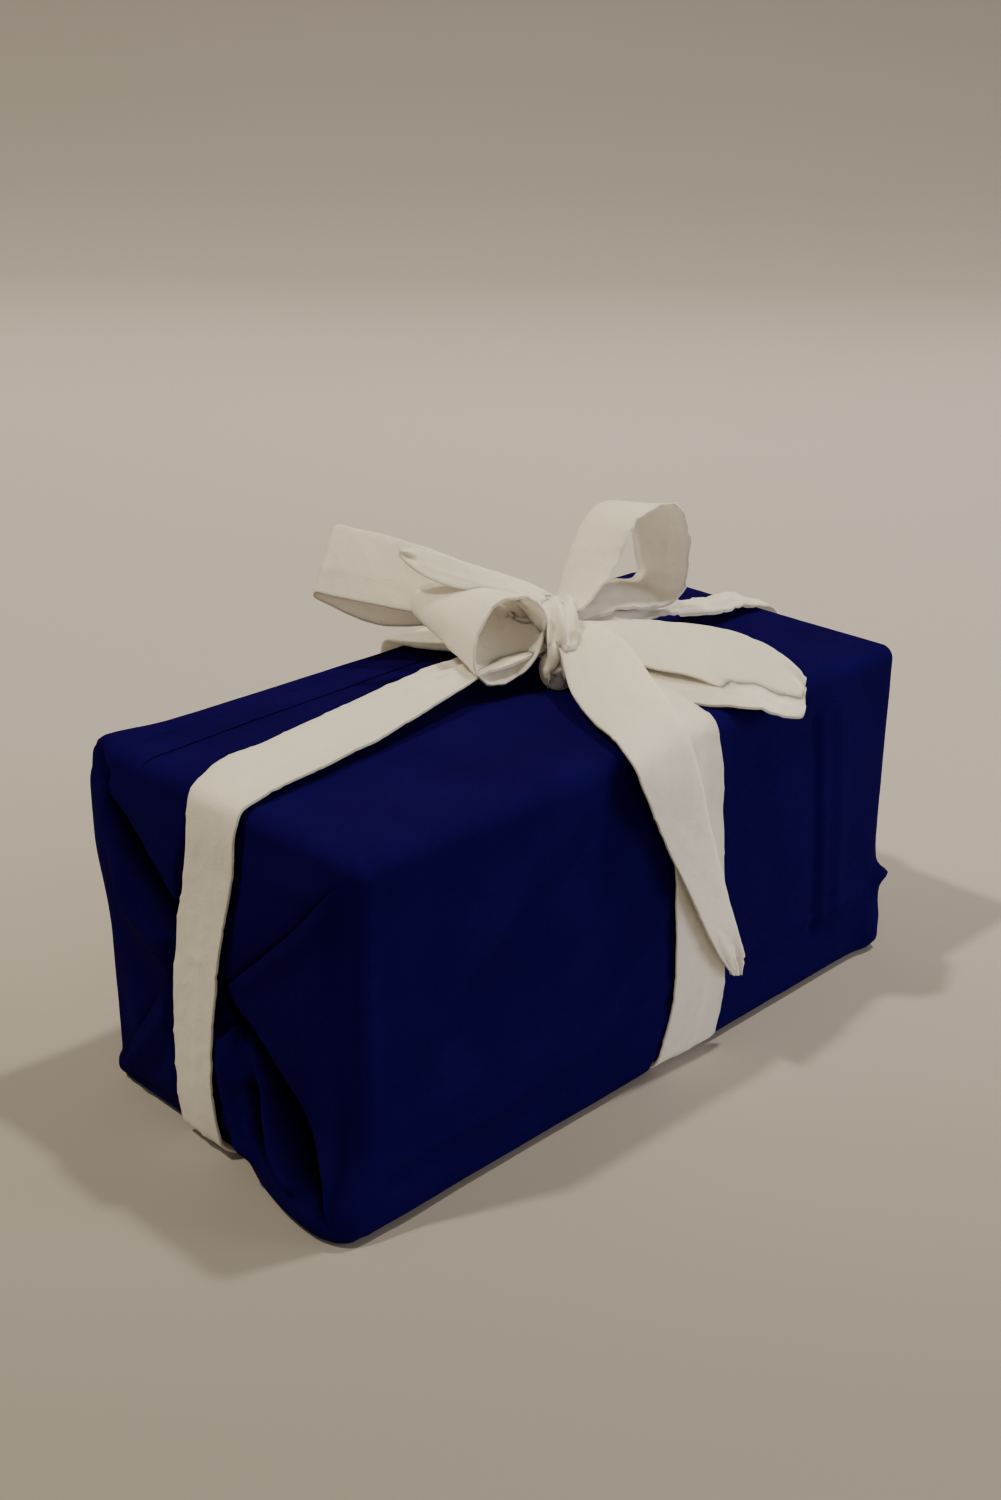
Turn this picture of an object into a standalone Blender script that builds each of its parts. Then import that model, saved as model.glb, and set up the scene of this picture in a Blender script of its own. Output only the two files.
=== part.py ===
"""A parcel wrapped in one dark cotton cloth and tied with one white cotton tape.

The cloth is wound round a box and folded in at both ends: the top flap first, then the two side
flaps, then the bottom flap. The tape goes once round the parcel lengthwise and once crosswise,
and ends in a knot on top with four loops and two pointed ends.

The tables are in millimetres. X runs along the parcel, Y to its back and Z up; the origin is the
middle of the parcel's underside, on the surface that it stands on.
"""

from collections import namedtuple
import math

import bmesh
import bpy
import numpy as np

MM = 0.001

# Driving dimensions of the wrapped parcel.
LENGTH = 240.0
DEPTH = 117.0
HEIGHT = 115.0
EDGE_RADIUS = 5.0

# Cloth: one layer in relief, the hem's width, and the crown of each face.
LAYER = 1.2
HEM_WIDTH = 11.0
HEM_RISE = 0.6
CROWN = 1.5

# Tape: the thickness of the double strip, and the gap that parts it from the cloth.
TAPE_THICKNESS = 1.2
CLEARANCE = 0.35
# The press cutter reaches this many tape thicknesses outward, past every fold of the cloth.
PRESS_REACH = 5.0
STEPS_PER_ROW = 3

# Face names, each with its outward normal and the two axes that its folds are measured along.
FACES = {
    "front": ((0, -1, 0), (0, 2)),
    "back": ((0, 1, 0), (0, 2)),
    "top": ((0, 0, 1), (0, 1)),
    "left": ((-1, 0, 0), (1, 2)),
    "right": ((1, 0, 0), (1, 2)),
}

# A fold is a soft ridge (rise above 0) or groove (rise below 0) along a line of points.
Fold = namedtuple("Fold", "face line width rise")
FOLDS = (
    # The inner end of the cloth shows through the outer layer as its hem's ridge.
    Fold("front", ((-110, 20), (-54, 22), (7, 32), (47, 28), (104, 26)), 3.0, 0.7),
    # Drape from the front strap down to the lower left.
    Fold("front", ((-12, 106), (-48, 84), (-83, 52)), 9.0, -1.4),
    Fold("front", ((2, 92), (-34, 66), (-66, 40)), 8.0, 0.9),
    Fold("front", ((-34, 104), (-70, 82), (-98, 60)), 8.0, 0.8),
    # Upright press mark near the right end.
    Fold("front", ((74, 98), (79, 60), (83, 26)), 3.5, -1.0),
    Fold("front", ((86, 98), (91, 60), (94, 26)), 3.5, 0.6),
    Fold("front", ((-113, 104), (-113, 12)), 3.0, -1.0),
    Fold("back", ((-60, 96), (-20, 60), (30, 30)), 10.0, -1.0),
    Fold("back", ((40, 98), (70, 62), (96, 30)), 9.0, 0.8),
    Fold("top", ((-106, 47), (-39, 49), (100, 46)), 2.0, -0.7),
    Fold("top", ((-90, -22), (-50, -30), (-20, -20)), 9.0, -0.8),
    Fold("top", ((60, -30), (90, -12), (108, 14)), 9.0, -0.6),
    # The loose groove above the left end's back flap.
    Fold("left", ((58, 113), (40, 95), (20, 75)), 5.0, -3.0),
    Fold("right", ((50, 104), (36, 90), (20, 75)), 4.0, -1.5),
    Fold("right", ((-60, 58), (-56, 84)), 14.0, -1.6),
    # Fuller corners: the right end's lower front one and the left end's upper back one.
    Fold("right", ((-60, 3), (-58, 24)), 12.0, 4.0),
    Fold("front", ((121, 2), (121, 12)), 7.0, 2.5),
    Fold("left", ((60, 94), (60, 116)), 11.0, 3.7),
    Fold("back", ((-120, 94), (-119, 116)), 11.0, 4.0),
    Fold("top", ((-118, 60), (-112, 60)), 9.0, 1.6),
)

# The outer layer's free edge on top, as (x, y): behind this line the cloth lies one layer higher.
FREE_EDGE = ((-120, 34.5), (-50, 37.0), (20, 40.0), (120, 38.0))

# A flap is a four-cornered sheet on an end face: (y, z) corners in order round it, how far its
# outside stands off the end, and its own folds.
Flap = namedtuple("Flap", "name face corners stand folds")
FLAPS = (
    Flap("left_back", "left", ((57, 3), (57, 112), (14, 69), (12, 3)), 1.3, (
        Fold("left", ((55, 98), (36, 80), (18, 62)), 6.0, 1.8),
        Fold("left", ((50, 84), (36, 66), (26, 46)), 5.0, -0.8),
    )),
    Flap("left_front", "left", ((-57, 3), (-57, 112), (-8, 60), (-6, 3)), 1.3, (
        Fold("left", ((-54, 104), (-34, 82), (-14, 62)), 5.0, 0.8),
        Fold("left", ((-52, 76), (-40, 50), (-36, 30)), 6.0, -0.7),
    )),
    Flap("left_bottom", "left", ((-56, 2), (-11, 60), (10, 63), (52, 4)), 2.6, (
        Fold("left", ((-26, 6), (-40, 8), (-56, 5)), 14.0, 3.8),
        Fold("left", ((-12, 54), (-20, 32), (-34, 17), (-49, 13)), 2.8, 1.3),
        Fold("left", ((-8, 46), (-14, 28), (-26, 12), (-42, 5)), 2.8, 1.3),
        Fold("left", ((-5, 36), (-8, 20), (-16, 8)), 3.0, 1.1),
        Fold("left", ((26, 40), (38, 24), (50, 7)), 3.0, 0.7),
    )),
    Flap("right_back", "right", ((57, 3), (57, 112), (8, 62), (8, 3)), 1.3, ()),
    Flap("right_front", "right", ((-55, 3), (-55, 110), (-12, 62), (-12, 3)), 1.3, (
        Fold("right", ((-50, 100), (-32, 80), (-18, 64)), 5.0, 0.8),
    )),
    Flap("right_bottom", "right", ((-54, 3), (-14, 60), (6, 62), (54, 3)), 2.6, (
        Fold("right", ((30, 8), (10, 24), (-16, 50)), 9.0, 0.9),
        Fold("right", ((-30, 10), (-10, 22), (12, 48)), 7.0, -0.7),
    )),
)
FLAP_CELLS = 8
# How deep a flap's slab reaches into the wound cloth, to fuse with it below its folds.
FLAP_ROOT = 7.0

# A row of a strip: the middle of the strip, the direction across it (turn about Z from +X and
# tilt above level, in degrees) and its width there.
Row = namedtuple("Row", "x y z turn tilt width")


def rows(*table):
    return [Row(*row) for row in table]


LENGTHWISE = rows(
    (13, 1, 128, -98, 0, 18),
    (-6, 3, 127.5, -98, 0, 19),
    (-20, 5, 125.5, -97, -3, 15),
    (-38, 5, 123.5, -94, -3, 19),
    (-64, 4, 120.5, -92, 0, 24),
    (-90, 2.5, 118.6, -91, 0, 25),
    (-114, 0, 117.2, -90, 0, 24),
    (-120.6, -1, 114.6, -90, 5, 23),
    (-122.6, -1.5, 109, -91, 12, 23),
    (-123.4, 0, 94, -94, 14, 24),
    (-124.4, 4, 76, -97, 13, 25),
    (-125.2, 7, 56, -99, 12, 25),
    (-125.4, 9, 38, -100, 12, 24),
    (-125.2, 10, 22, -99, 12, 22),
    (-124.2, 10, 10, -96, 6, 21),
    (-123, 9.8, 4.6, -93, 2, 20),
    (-119.6, 9.4, 1.5, -90, 0, 20),
    (-114, 9, 0.6, -90, 0, 21),
    (-104, 8.5, 0.6, -90, 0, 23),
    (0, 3, 0.6, -90, 0, 25),
    (104, -1, 0.6, -90, 0, 25),
    (115, -1, 0.6, -90, 0, 25),
    (121, -1, 1.7, -90, 0, 25),
    (124, -1, 5, -90, 0, 25),
    (124.8, -1, 11, -90, 0, 25),
    (124.8, -1, 36, -90, 0, 25),
    (124.6, -1, 64, -90, 0, 25),
    (123, -1, 92, -90, 0, 25),
    (122.2, -1, 108, -90, 0, 24),
    (120.4, -1, 114.8, -90, 3, 22),
    (113, -1, 117.6, -91, 8, 21),
    (88, -1, 120.5, -94, 12, 20),
    (60, -1, 124, -96, 14, 19),
    (34, -1, 127.5, -97, 10, 17),
)
CROSSWISE = rows(
    (13, 2, 125, 0, 0, 18),
    (12.5, -14, 124.5, 2, 0, 18),
    (11, -34, 121, 3, 0, 22),
    (10, -52, 117.4, 3, 0, 25),
    (10, -58.6, 114.8, 2, 0, 25),
    (10.5, -60.6, 108, 2, 0, 25),
    (13, -61.2, 88, 4, 0, 25),
    (15.5, -61.4, 64, 4, 0, 25),
    (18, -61.2, 40, 2, 0, 25),
    (18, -60.6, 18, -2, 0, 25),
    (16, -60.3, 10, -4, 0, 25),
    (15, -59.6, 5, -4, 0, 25),
    (14.6, -57, 2, -3, 0, 25),
    (14.2, -52, 1.0, -2, 0, 25),
    (14, -44, 1.0, -2, 0, 25),
    (10.5, 44, 1.0, -2, 0, 25),
    (10, 52, 1.0, -2, 0, 25),
    (9.8, 57, 2, -1, 0, 25),
    (9.6, 60, 5, 0, 0, 25),
    (9.4, 60.9, 11, 0, 0, 25),
    (9, 61.4, 36, 0, 0, 25),
    (8, 61.8, 66, 0, 0, 25),
    (7, 61.4, 96, 0, 0, 25),
    (6.5, 60.8, 110, 0, 0, 25),
    (6.5, 58, 117.4, 0, 0, 25),
    (7, 50, 119.2, 0, 0, 25),
    (9, 30, 121.8, 0, 0, 22),
    (11.5, 14, 124.5, 0, 0, 18),
)
# The band of the knot, once round the bundle of straps, and the bundle itself.
KNOT_BAND = rows(
    (0, -14, 132, -45, 0, 13),
    (1, -13, 123, -45, 0, 13),
    (6, -8, 118.2, -45, 0, 11),
    (15, 1, 119.5, -45, 0, 13),
    (23, 9, 129, -45, 0, 14),
    (20, 6, 139, -45, 0, 13),
    (12, -3, 142.5, -45, 0, 12),
    (3, -11, 139.5, -45, 0, 12),
)
KNOT_MIDDLE = (12, -3, 130.5)
KNOT_RADII = (10.5, 8.5, 9.5)
KNOT_TURN = -45

LEFT_BACK_LOOP = rows(
    (11, -1, 136, -148, -40, 9),
    (3, 13, 139, -150, -50, 13),
    (-5, 29, 142.5, -156, -55, 19.5),
    (-14, 44, 145.5, -157, -57, 22),
    (-22.5, 56.5, 148, -162, -57, 23),
    (-26.5, 62, 148.8, -165, -56, 23),
    (-26.2, 63.6, 147.4, -162, -56, 23),
    (-22, 60.5, 144.4, -156, -56, 24),
    (-12, 52, 138.5, -143, -53, 25),
    (-3, 40, 136.5, -141, -46, 21),
    (4, 22, 135, -143, -38, 14),
    (9, 4, 133, -142, -35, 9),
)
LEFT_FRONT_LOOP = rows(
    (11, -1, 138, -75, -7, 10),
    (5, 5, 142.5, -76, -7, 17),
    (-3, 10, 144.5, -80, -8, 23),
    (-12, 12, 142.5, -86, -9, 26),
    (-18, 12, 137, -92, -13, 27),
    (-18, 9, 130.5, -99, -16, 27),
    (-10, 7, 127.6, -107, -14, 26),
    (0, 5, 128.6, -104, -9, 22),
    (8, 2, 131, -98, -5, 14),
)
RIGHT_FRONT_LOOP = rows(
    (10, -4, 132, -140, -40, 9),
    (20, -14, 132, -136, -36, 12),
    (29, -24, 130.5, -130, -28, 21),
    (40, -36, 128.5, -133, -16, 25),
    (49.5, -48, 125.5, -135, -19, 25),
    (56.5, -57, 123.5, -138, -21, 22),
    (60.5, -62.5, 121, -140, -22, 20),
    (61, -66.5, 118, -142, -20, 18),
    (57.5, -67.5, 115.2, -144, -14, 18),
    (51, -65, 115.6, -148, -6, 18),
    (44, -59, 117.6, -152, -2, 19),
    (37, -49, 118, -156, -3, 20),
    (30, -38, 119, -158, -6, 18),
    (22, -23, 122.5, -154, -12, 13),
    (12, -6, 128, -140, -30, 9),
)
RIGHT_BACK_LOOP = rows(
    (13, 1, 133, -100, 10, 9),
    (21, 1, 138.5, -95, 12, 18),
    (26, 1, 145.5, -92, 12, 23),
    (32.5, 1, 153.5, -94, 8, 24),
    (41, 1, 160, -104, 5, 25),
    (50, 1, 162.5, -106, 8, 25),
    (58.5, 1, 159.5, -100, 12, 24),
    (62.5, 1, 151.5, -92, 10, 24),
    (64.5, 1, 142.5, -97, 8, 24),
    (62, 1, 136.5, -98, 4, 24),
    (50, 1, 134.8, -104, 2, 24),
    (35, 1, 135.5, -112, 4, 20),
    (16, 0, 131, -110, 5, 9),
)
FRONT_TAIL = rows(
    (11, -4, 134, 160, -20, 9),
    (9.5, -15, 133, 165, -22, 16),
    (5.5, -27, 127.5, 175, -18, 26),
    (0, -41, 123, -176, -12, 28.5),
    (-4.5, -54, 119.8, -173, -6, 28.5),
    (-6.5, -61.5, 115.2, -174, -3, 27.5),
    (-4.5, -64.6, 106, -176, 6, 27.5),
    (1, -65, 92, -175, 14, 27.5),
    (7.5, -65, 78, -174, 18, 26.5),
    (15.5, -65, 62, -173, 21, 24),
    (23.5, -65, 46, -173, 22, 20),
    (30, -64.5, 34, -173, 20, 14),
    (34, -64, 25.5, -170, 18, 4),
)
LEFT_TAIL = rows(
    (11, 1, 140, -75, -52, 6),
    (4, 8, 145, -72, -50, 7.5),
    (-4, 13, 148.5, -72, -46, 8.5),
    (-12, 19, 151.5, -70, -44, 8.5),
    (-19, 25, 154.5, -70, -44, 7),
    (-24, 30, 157.5, -70, -44, 2.5),
)

# Corners of the small point of cloth that stands out of the right end.
EAR = ((116, -58, 23), (116, -48, 25), (116, -56, 38), (126, -57.2, 27.5), (126, -58.2, 28.5))


def smooth(value, start, end):
    """0 before start, 1 after end, and a smooth rise between them."""
    share = np.clip((value - start) / (end - start), 0.0, 1.0)
    return share * share * (3.0 - 2.0 * share)


def distance_to_line(point, line):
    """Shortest distance in a plane from a point to a line of points."""
    point = np.asarray(point, float)
    best = math.inf
    for start, end in zip(line, line[1:]):
        start, end = np.asarray(start, float), np.asarray(end, float)
        along = end - start
        share = np.clip((point - start) @ along / (along @ along), 0.0, 1.0)
        best = min(best, float(np.linalg.norm(point - start - share * along)))
    return best


def fold_relief(place, folds):
    """Height that these folds give at a place on their face."""
    height = 0.0
    for fold in folds:
        off_line = distance_to_line(place, fold.line) / fold.width
        height += fold.rise * math.exp(-off_line * off_line)
    return height


def crown(face, point):
    """Soft outward swell of a face, nothing at its edges."""
    halves = (LENGTH / 2, DEPTH / 2, HEIGHT / 2)
    middle = (0.0, 0.0, HEIGHT / 2)
    height = CROWN
    for axis in FACES[face][1]:
        off = (point[axis] - middle[axis]) / halves[axis]
        height *= max(0.0, 1.0 - off * off)
    return height


def relief(point, normal):
    """How far the cloth stands off the plain rounded box at this point."""
    height = 0.0
    for face, (outward, axes) in FACES.items():
        facing = smooth(float(np.dot(normal, outward)), 0.35, 0.95)
        if facing <= 0.0:
            continue
        place = (point[axes[0]], point[axes[1]])
        height += facing * fold_relief(place, [fold for fold in FOLDS if fold.face == face])
        height += facing * crown(face, point)
        if face == "top":
            height += facing * free_edge_relief(place)
    return height


def free_edge_relief(place):
    """The outer layer's step on top, highest along its hem."""
    edge = np.interp(place[0], [x for x, _ in FREE_EDGE], [y for _, y in FREE_EDGE])
    behind = place[1] - edge
    return LAYER * smooth(behind, 0.0, 1.5) + HEM_RISE * (
        smooth(behind, 0.0, 1.5) - smooth(behind, HEM_WIDTH, HEM_WIDTH + 2.0)
    )


def grid_places(low, high, inner):
    """Grid lines across the box: close together on the round edges, then the inner ones."""
    arc = [EDGE_RADIUS * (1.0 - math.tan(math.radians(angle))) for angle in (45, 30, 15, 0)]
    return [low + step for step in arc] + list(inner) + [high - step for step in reversed(arc)]


def cloth_body():
    """The wound cloth: a rounded box in a grid, pushed out and in by its folds."""
    low = np.array((-LENGTH / 2, -DEPTH / 2, 0.0))
    high = np.array((LENGTH / 2, DEPTH / 2, HEIGHT))
    lines = (
        grid_places(low[0], high[0], np.linspace(-102, 102, 14)),
        grid_places(low[1], high[1], (-40, -28, -14, 0, 14, 26, 34.5, 37, 39.5, 42, 47, 50)),
        grid_places(low[2], high[2], np.linspace(16, 100, 7)),
    )
    counts = [len(line) for line in lines]
    mesh = bmesh.new()
    corners = {}

    def corner(index):
        if index not in corners:
            flat = np.array([lines[axis][index[axis]] for axis in range(3)])
            inner = np.clip(flat, low + EDGE_RADIUS, high - EDGE_RADIUS)
            normal = (flat - inner) / np.linalg.norm(flat - inner)
            point = inner + EDGE_RADIUS * normal
            point = point + normal * relief(point, normal)
            point[2] = max(point[2], 0.0)
            corners[index] = mesh.verts.new(point * MM)
        return corners[index]

    for axis in range(3):
        one, two = (axis + 1) % 3, (axis + 2) % 3
        for side in (0, counts[axis] - 1):
            for i in range(counts[one] - 1):
                for j in range(counts[two] - 1):
                    ring = []
                    for step_one, step_two in ((0, 0), (1, 0), (1, 1), (0, 1)):
                        index = [0, 0, 0]
                        index[axis] = side
                        index[one] = i + step_one
                        index[two] = j + step_two
                        ring.append(corner(tuple(index)))
                    if side == 0:
                        ring.reverse()
                    mesh.faces.new(ring)
    return mesh


def edge_drop(place):
    """How far a flap turns back with the round edge of its end face, at a (y, z) place."""
    past_y = max(0.0, abs(place[0]) - (DEPTH / 2 - EDGE_RADIUS))
    past_z = max(0.0, abs(place[1] - HEIGHT / 2) - (HEIGHT / 2 - EDGE_RADIUS))
    past = min(math.hypot(past_y, past_z), 0.9 * EDGE_RADIUS)
    return EDGE_RADIUS - math.sqrt(EDGE_RADIUS * EDGE_RADIUS - past * past)


def flap_mesh(flap):
    """A closed slab on an end face whose outside follows the end's own folds and the flap's."""
    sign = FACES[flap.face][0][0]
    corners = [np.array(corner, float) for corner in flap.corners]
    normal = np.array((sign, 0.0, 0.0))
    mesh = bmesh.new()
    sheets = []
    for inside in (False, True):
        sheet = []
        for i in range(FLAP_CELLS + 1):
            u = i / FLAP_CELLS
            for j in range(FLAP_CELLS + 1):
                v = j / FLAP_CELLS
                low = corners[0] * (1 - u) + corners[3] * u
                top = corners[1] * (1 - u) + corners[2] * u
                place = low * (1 - v) + top * v
                point = np.array((sign * LENGTH / 2, place[0], place[1]))
                off = -FLAP_ROOT
                if not inside:
                    off = flap.stand + crown(flap.face, point) + fold_relief(place, flap.folds)
                    off -= edge_drop(place)
                sheet.append(mesh.verts.new((point + normal * off) * MM))
        sheets.append(sheet)
    outer, inner = sheets
    side = FLAP_CELLS + 1
    for i in range(FLAP_CELLS):
        for j in range(FLAP_CELLS):
            ring = [i * side + j, (i + 1) * side + j, (i + 1) * side + j + 1, i * side + j + 1]
            mesh.faces.new([outer[k] for k in ring])
            mesh.faces.new([inner[k] for k in reversed(ring)])
    border = [i * side for i in range(side)]
    border += [FLAP_CELLS * side + j for j in range(1, side)]
    border += [i * side + FLAP_CELLS for i in range(FLAP_CELLS - 1, -1, -1)]
    border += [j for j in range(FLAP_CELLS - 1, 0, -1)]
    for first, second in zip(border, border[1:] + border[:1]):
        mesh.faces.new((outer[second], outer[first], inner[first], inner[second]))
    bmesh.ops.recalc_face_normals(mesh, faces=mesh.faces)
    return mesh


def ear_mesh():
    """The tip of a flap that stands out of the right end, near the front."""
    mesh = bmesh.new()
    corners = [mesh.verts.new(np.array(point) * MM) for point in EAR]
    bmesh.ops.convex_hull(mesh, input=corners)
    bmesh.ops.recalc_face_normals(mesh, faces=mesh.faces)
    return mesh


def across(row):
    """Unit vector across the strip, from its turn and tilt."""
    turn, tilt = math.radians(row.turn), math.radians(row.tilt)
    level = math.cos(tilt)
    return np.array((level * math.cos(turn), level * math.sin(turn), math.sin(tilt)))


def curve_through(values, gaps, closed):
    """Smooth curve through the rows of an array; gaps are the distances between the rows."""
    values = np.asarray(values, float)
    count = len(values)
    steps = (np.roll(values, -1, axis=0) - values) / gaps[:, None]
    before, after = np.roll(gaps, 1)[:, None], gaps[:, None]
    slopes = (np.roll(steps, 1, axis=0) * after + steps * before) / (before + after)
    if not closed:
        slopes[0], slopes[-1] = steps[0], steps[-2]
    points = []
    for row in range(count if closed else count - 1):
        start, end = values[row], values[(row + 1) % count]
        lead = slopes[row] * gaps[row]
        trail = slopes[(row + 1) % count] * gaps[row]
        for step in range(STEPS_PER_ROW):
            t = step / STEPS_PER_ROW
            points.append(
                (2 * t ** 3 - 3 * t ** 2 + 1) * start
                + (t ** 3 - 2 * t ** 2 + t) * lead
                + (3 * t ** 2 - 2 * t ** 3) * end
                + (t ** 3 - t ** 2) * trail
            )
    if not closed:
        points.append(values[-1])
    return np.array(points)


def strip_mesh(table, closed=False, inward=0.5, outward=0.5, widen=0.0, lowest=0.0):
    """Closed strip along a table of rows. inward and outward are its faces' distances from the
    middle, in thicknesses; no point of it lies below lowest."""
    places = np.array([(row.x, row.y, row.z) for row in table], float)
    gaps = np.linalg.norm(np.roll(places, -1, axis=0) - places, axis=1)
    middles = curve_through(places, gaps, closed)
    sideways = curve_through([across(row) for row in table], gaps, closed)
    widths = curve_through([(row.width + widen,) for row in table], gaps, closed)[:, 0]
    if closed:
        along = np.roll(middles, -1, axis=0) - np.roll(middles, 1, axis=0)
    else:
        along = np.gradient(middles, axis=0)
    mesh = bmesh.new()
    sections = []
    for middle, side, width, forward in zip(middles, sideways, widths, along):
        half = side / np.linalg.norm(side) * width / 2
        normal = np.cross(forward, half)
        normal *= TAPE_THICKNESS / np.linalg.norm(normal)
        corners = (
            middle - half - normal * inward,
            middle + half - normal * inward,
            middle + half + normal * outward,
            middle - half + normal * outward,
        )
        for corner in corners:
            corner[2] = max(corner[2], lowest)
        sections.append([mesh.verts.new(corner * MM) for corner in corners])
    pairs = list(zip(sections, sections[1:]))
    if closed:
        pairs.append((sections[-1], sections[0]))
    else:
        mesh.faces.new(sections[0])
        mesh.faces.new(reversed(sections[-1]))
    for one, two in pairs:
        for k in range(4):
            mesh.faces.new((one[k], two[k], two[(k + 1) % 4], one[(k + 1) % 4]))
    bmesh.ops.recalc_face_normals(mesh, faces=mesh.faces)
    return mesh


def knot_mesh():
    """The bundle inside the knot: a lump that every strap and loop runs into."""
    mesh = bmesh.new()
    bmesh.ops.create_uvsphere(mesh, u_segments=14, v_segments=8, radius=1.0)
    turn = math.radians(KNOT_TURN)
    for vertex in mesh.verts:
        x, y, z = (vertex.co[axis] * KNOT_RADII[axis] for axis in range(3))
        vertex.co = (
            (KNOT_MIDDLE[0] + x * math.cos(turn) - y * math.sin(turn)) * MM,
            (KNOT_MIDDLE[1] + x * math.sin(turn) + y * math.cos(turn)) * MM,
            (KNOT_MIDDLE[2] + z) * MM,
        )
    return mesh


def cloth_material():
    """Dark navy cotton."""
    return plain_material("navy_cotton", (0.004, 0.005, 0.045), 0.85)


def tape_material():
    """White cotton tape."""
    return plain_material("white_cotton", (0.72, 0.66, 0.57), 0.8)


def plain_material(name, colour, roughness):
    material = bpy.data.materials.new(name)
    material.use_nodes = True
    shader = material.node_tree.nodes["Principled BSDF"]
    shader.inputs["Base Color"].default_value = (*colour, 1.0)
    shader.inputs["Roughness"].default_value = roughness
    shader.inputs["Metallic"].default_value = 0.0
    return material


def add_object(name, mesh, collection, helper=False):
    """Turn a bmesh into an object of triangles; a helper only feeds a Boolean."""
    bmesh.ops.triangulate(mesh, faces=mesh.faces)
    data = bpy.data.meshes.new(name)
    mesh.to_mesh(data)
    mesh.free()
    made = bpy.data.objects.new(name, data)
    collection.objects.link(made)
    if helper:
        made.hide_render = True
        made.display_type = "WIRE"
    return made


def new_collection(name):
    collection = bpy.data.collections.new(name)
    bpy.context.scene.collection.children.link(collection)
    return collection


def combine(target, operation, collection):
    boolean = target.modifiers.new(f"{operation.lower()}_{collection.name}", "BOOLEAN")
    boolean.operation = operation
    boolean.operand_type = "COLLECTION"
    boolean.collection = collection
    boolean.solver = "EXACT"


def build_cloth(root):
    """The wound cloth with its end flaps, pressed in under the tape."""
    flaps = new_collection("flaps")
    presses = new_collection("tape_presses")
    for flap in FLAPS:
        add_object(f"flap_{flap.name}", flap_mesh(flap), flaps, helper=True)
    add_object("flap_ear", ear_mesh(), flaps, helper=True)
    reach = 0.5 + CLEARANCE / TAPE_THICKNESS
    for name, table in (("lengthwise", LENGTHWISE), ("crosswise", CROSSWISE)):
        press = strip_mesh(
            table, True, reach, PRESS_REACH, widen=4 * CLEARANCE, lowest=-math.inf
        )
        add_object(f"press_{name}", press, presses, helper=True)
    cloth = add_object("wrap_cloth", cloth_body(), bpy.context.scene.collection)
    combine(cloth, "UNION", flaps)
    combine(cloth, "DIFFERENCE", presses)
    cloth.data.materials.append(cloth_material())
    cloth.parent = root


def build_tape(root):
    """The tape: both turns round the parcel, the knot, four loops and two ends, all one piece."""
    pieces = new_collection("tape_runs")
    add_object("run_crosswise", strip_mesh(CROSSWISE, closed=True), pieces, helper=True)
    add_object("run_knot_band", strip_mesh(KNOT_BAND, closed=True), pieces, helper=True)
    add_object("run_knot", knot_mesh(), pieces, helper=True)
    for name, table in (
        ("left_back_loop", LEFT_BACK_LOOP),
        ("left_front_loop", LEFT_FRONT_LOOP),
        ("right_front_loop", RIGHT_FRONT_LOOP),
        ("right_back_loop", RIGHT_BACK_LOOP),
        ("front_tail", FRONT_TAIL),
        ("left_tail", LEFT_TAIL),
    ):
        add_object(f"run_{name}", strip_mesh(table), pieces, helper=True)
    tape = add_object(
        "tie_tape", strip_mesh(LENGTHWISE, closed=True), bpy.context.scene.collection
    )
    combine(tape, "UNION", pieces)
    tape.data.materials.append(tape_material())
    tape.parent = root


def main():
    for item in list(bpy.data.objects):
        bpy.data.objects.remove(item, do_unlink=True)
    root = bpy.data.objects.new("parcel", None)
    bpy.context.scene.collection.objects.link(root)
    build_cloth(root)
    build_tape(root)


main()
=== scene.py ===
"""Looks of the furoshiki wrap: one navy cotton cloth wound round a box and folded in at both ends,
tied with one folded white cotton tape.

The tables are in millimetres in the part's frame: X along the parcel, Y to its back, Z up, the
origin in the middle of its underside. Meshes are scaled to metres when they are made.
"""

from collections import namedtuple
import math

import bmesh
import bpy
import numpy as np
from mathutils import Matrix, Vector, noise


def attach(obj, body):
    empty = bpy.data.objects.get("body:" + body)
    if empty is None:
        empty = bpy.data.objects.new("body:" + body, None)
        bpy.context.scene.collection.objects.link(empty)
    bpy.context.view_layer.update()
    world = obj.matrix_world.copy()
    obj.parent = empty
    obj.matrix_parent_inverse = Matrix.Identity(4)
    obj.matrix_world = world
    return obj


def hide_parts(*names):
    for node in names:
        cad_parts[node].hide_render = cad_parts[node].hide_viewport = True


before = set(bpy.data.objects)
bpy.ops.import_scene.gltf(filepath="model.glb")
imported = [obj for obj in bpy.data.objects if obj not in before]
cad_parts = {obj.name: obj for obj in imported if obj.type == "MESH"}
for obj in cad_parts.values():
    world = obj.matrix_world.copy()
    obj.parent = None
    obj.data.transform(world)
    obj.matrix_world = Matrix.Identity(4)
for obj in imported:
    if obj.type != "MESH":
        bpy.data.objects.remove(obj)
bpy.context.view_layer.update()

MM = 0.001

# The wrapped parcel, as in the solids.
LENGTH = 240.0
DEPTH = 117.0
HEIGHT = 115.0
EDGE_RADIUS = 5.0
CROWN = 1.5
# Spacing of the cloth's mesh, steps round an edge and between two points of a flap's side, and
# the cloth's height over the floor.
CLOTH_STEP = 1.7
BOTTOM_STEP = 0.7 * CLOTH_STEP
FLAP_STEP = 0.75 * CLOTH_STEP
ARC_STEPS = 6
CURVE_STEPS = 8
FLOOR_GAP = 0.25
# How far a normal has to face out of a face for the face's folds to start, and to be full.
FACING = (0.35, 0.95)
# On top: height of the outer layer, of its hem over that, and the y where the inner layer ends.
LAYER = 0.15
HEM_RISE = 0.15
INNER_END = 50.0
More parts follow.
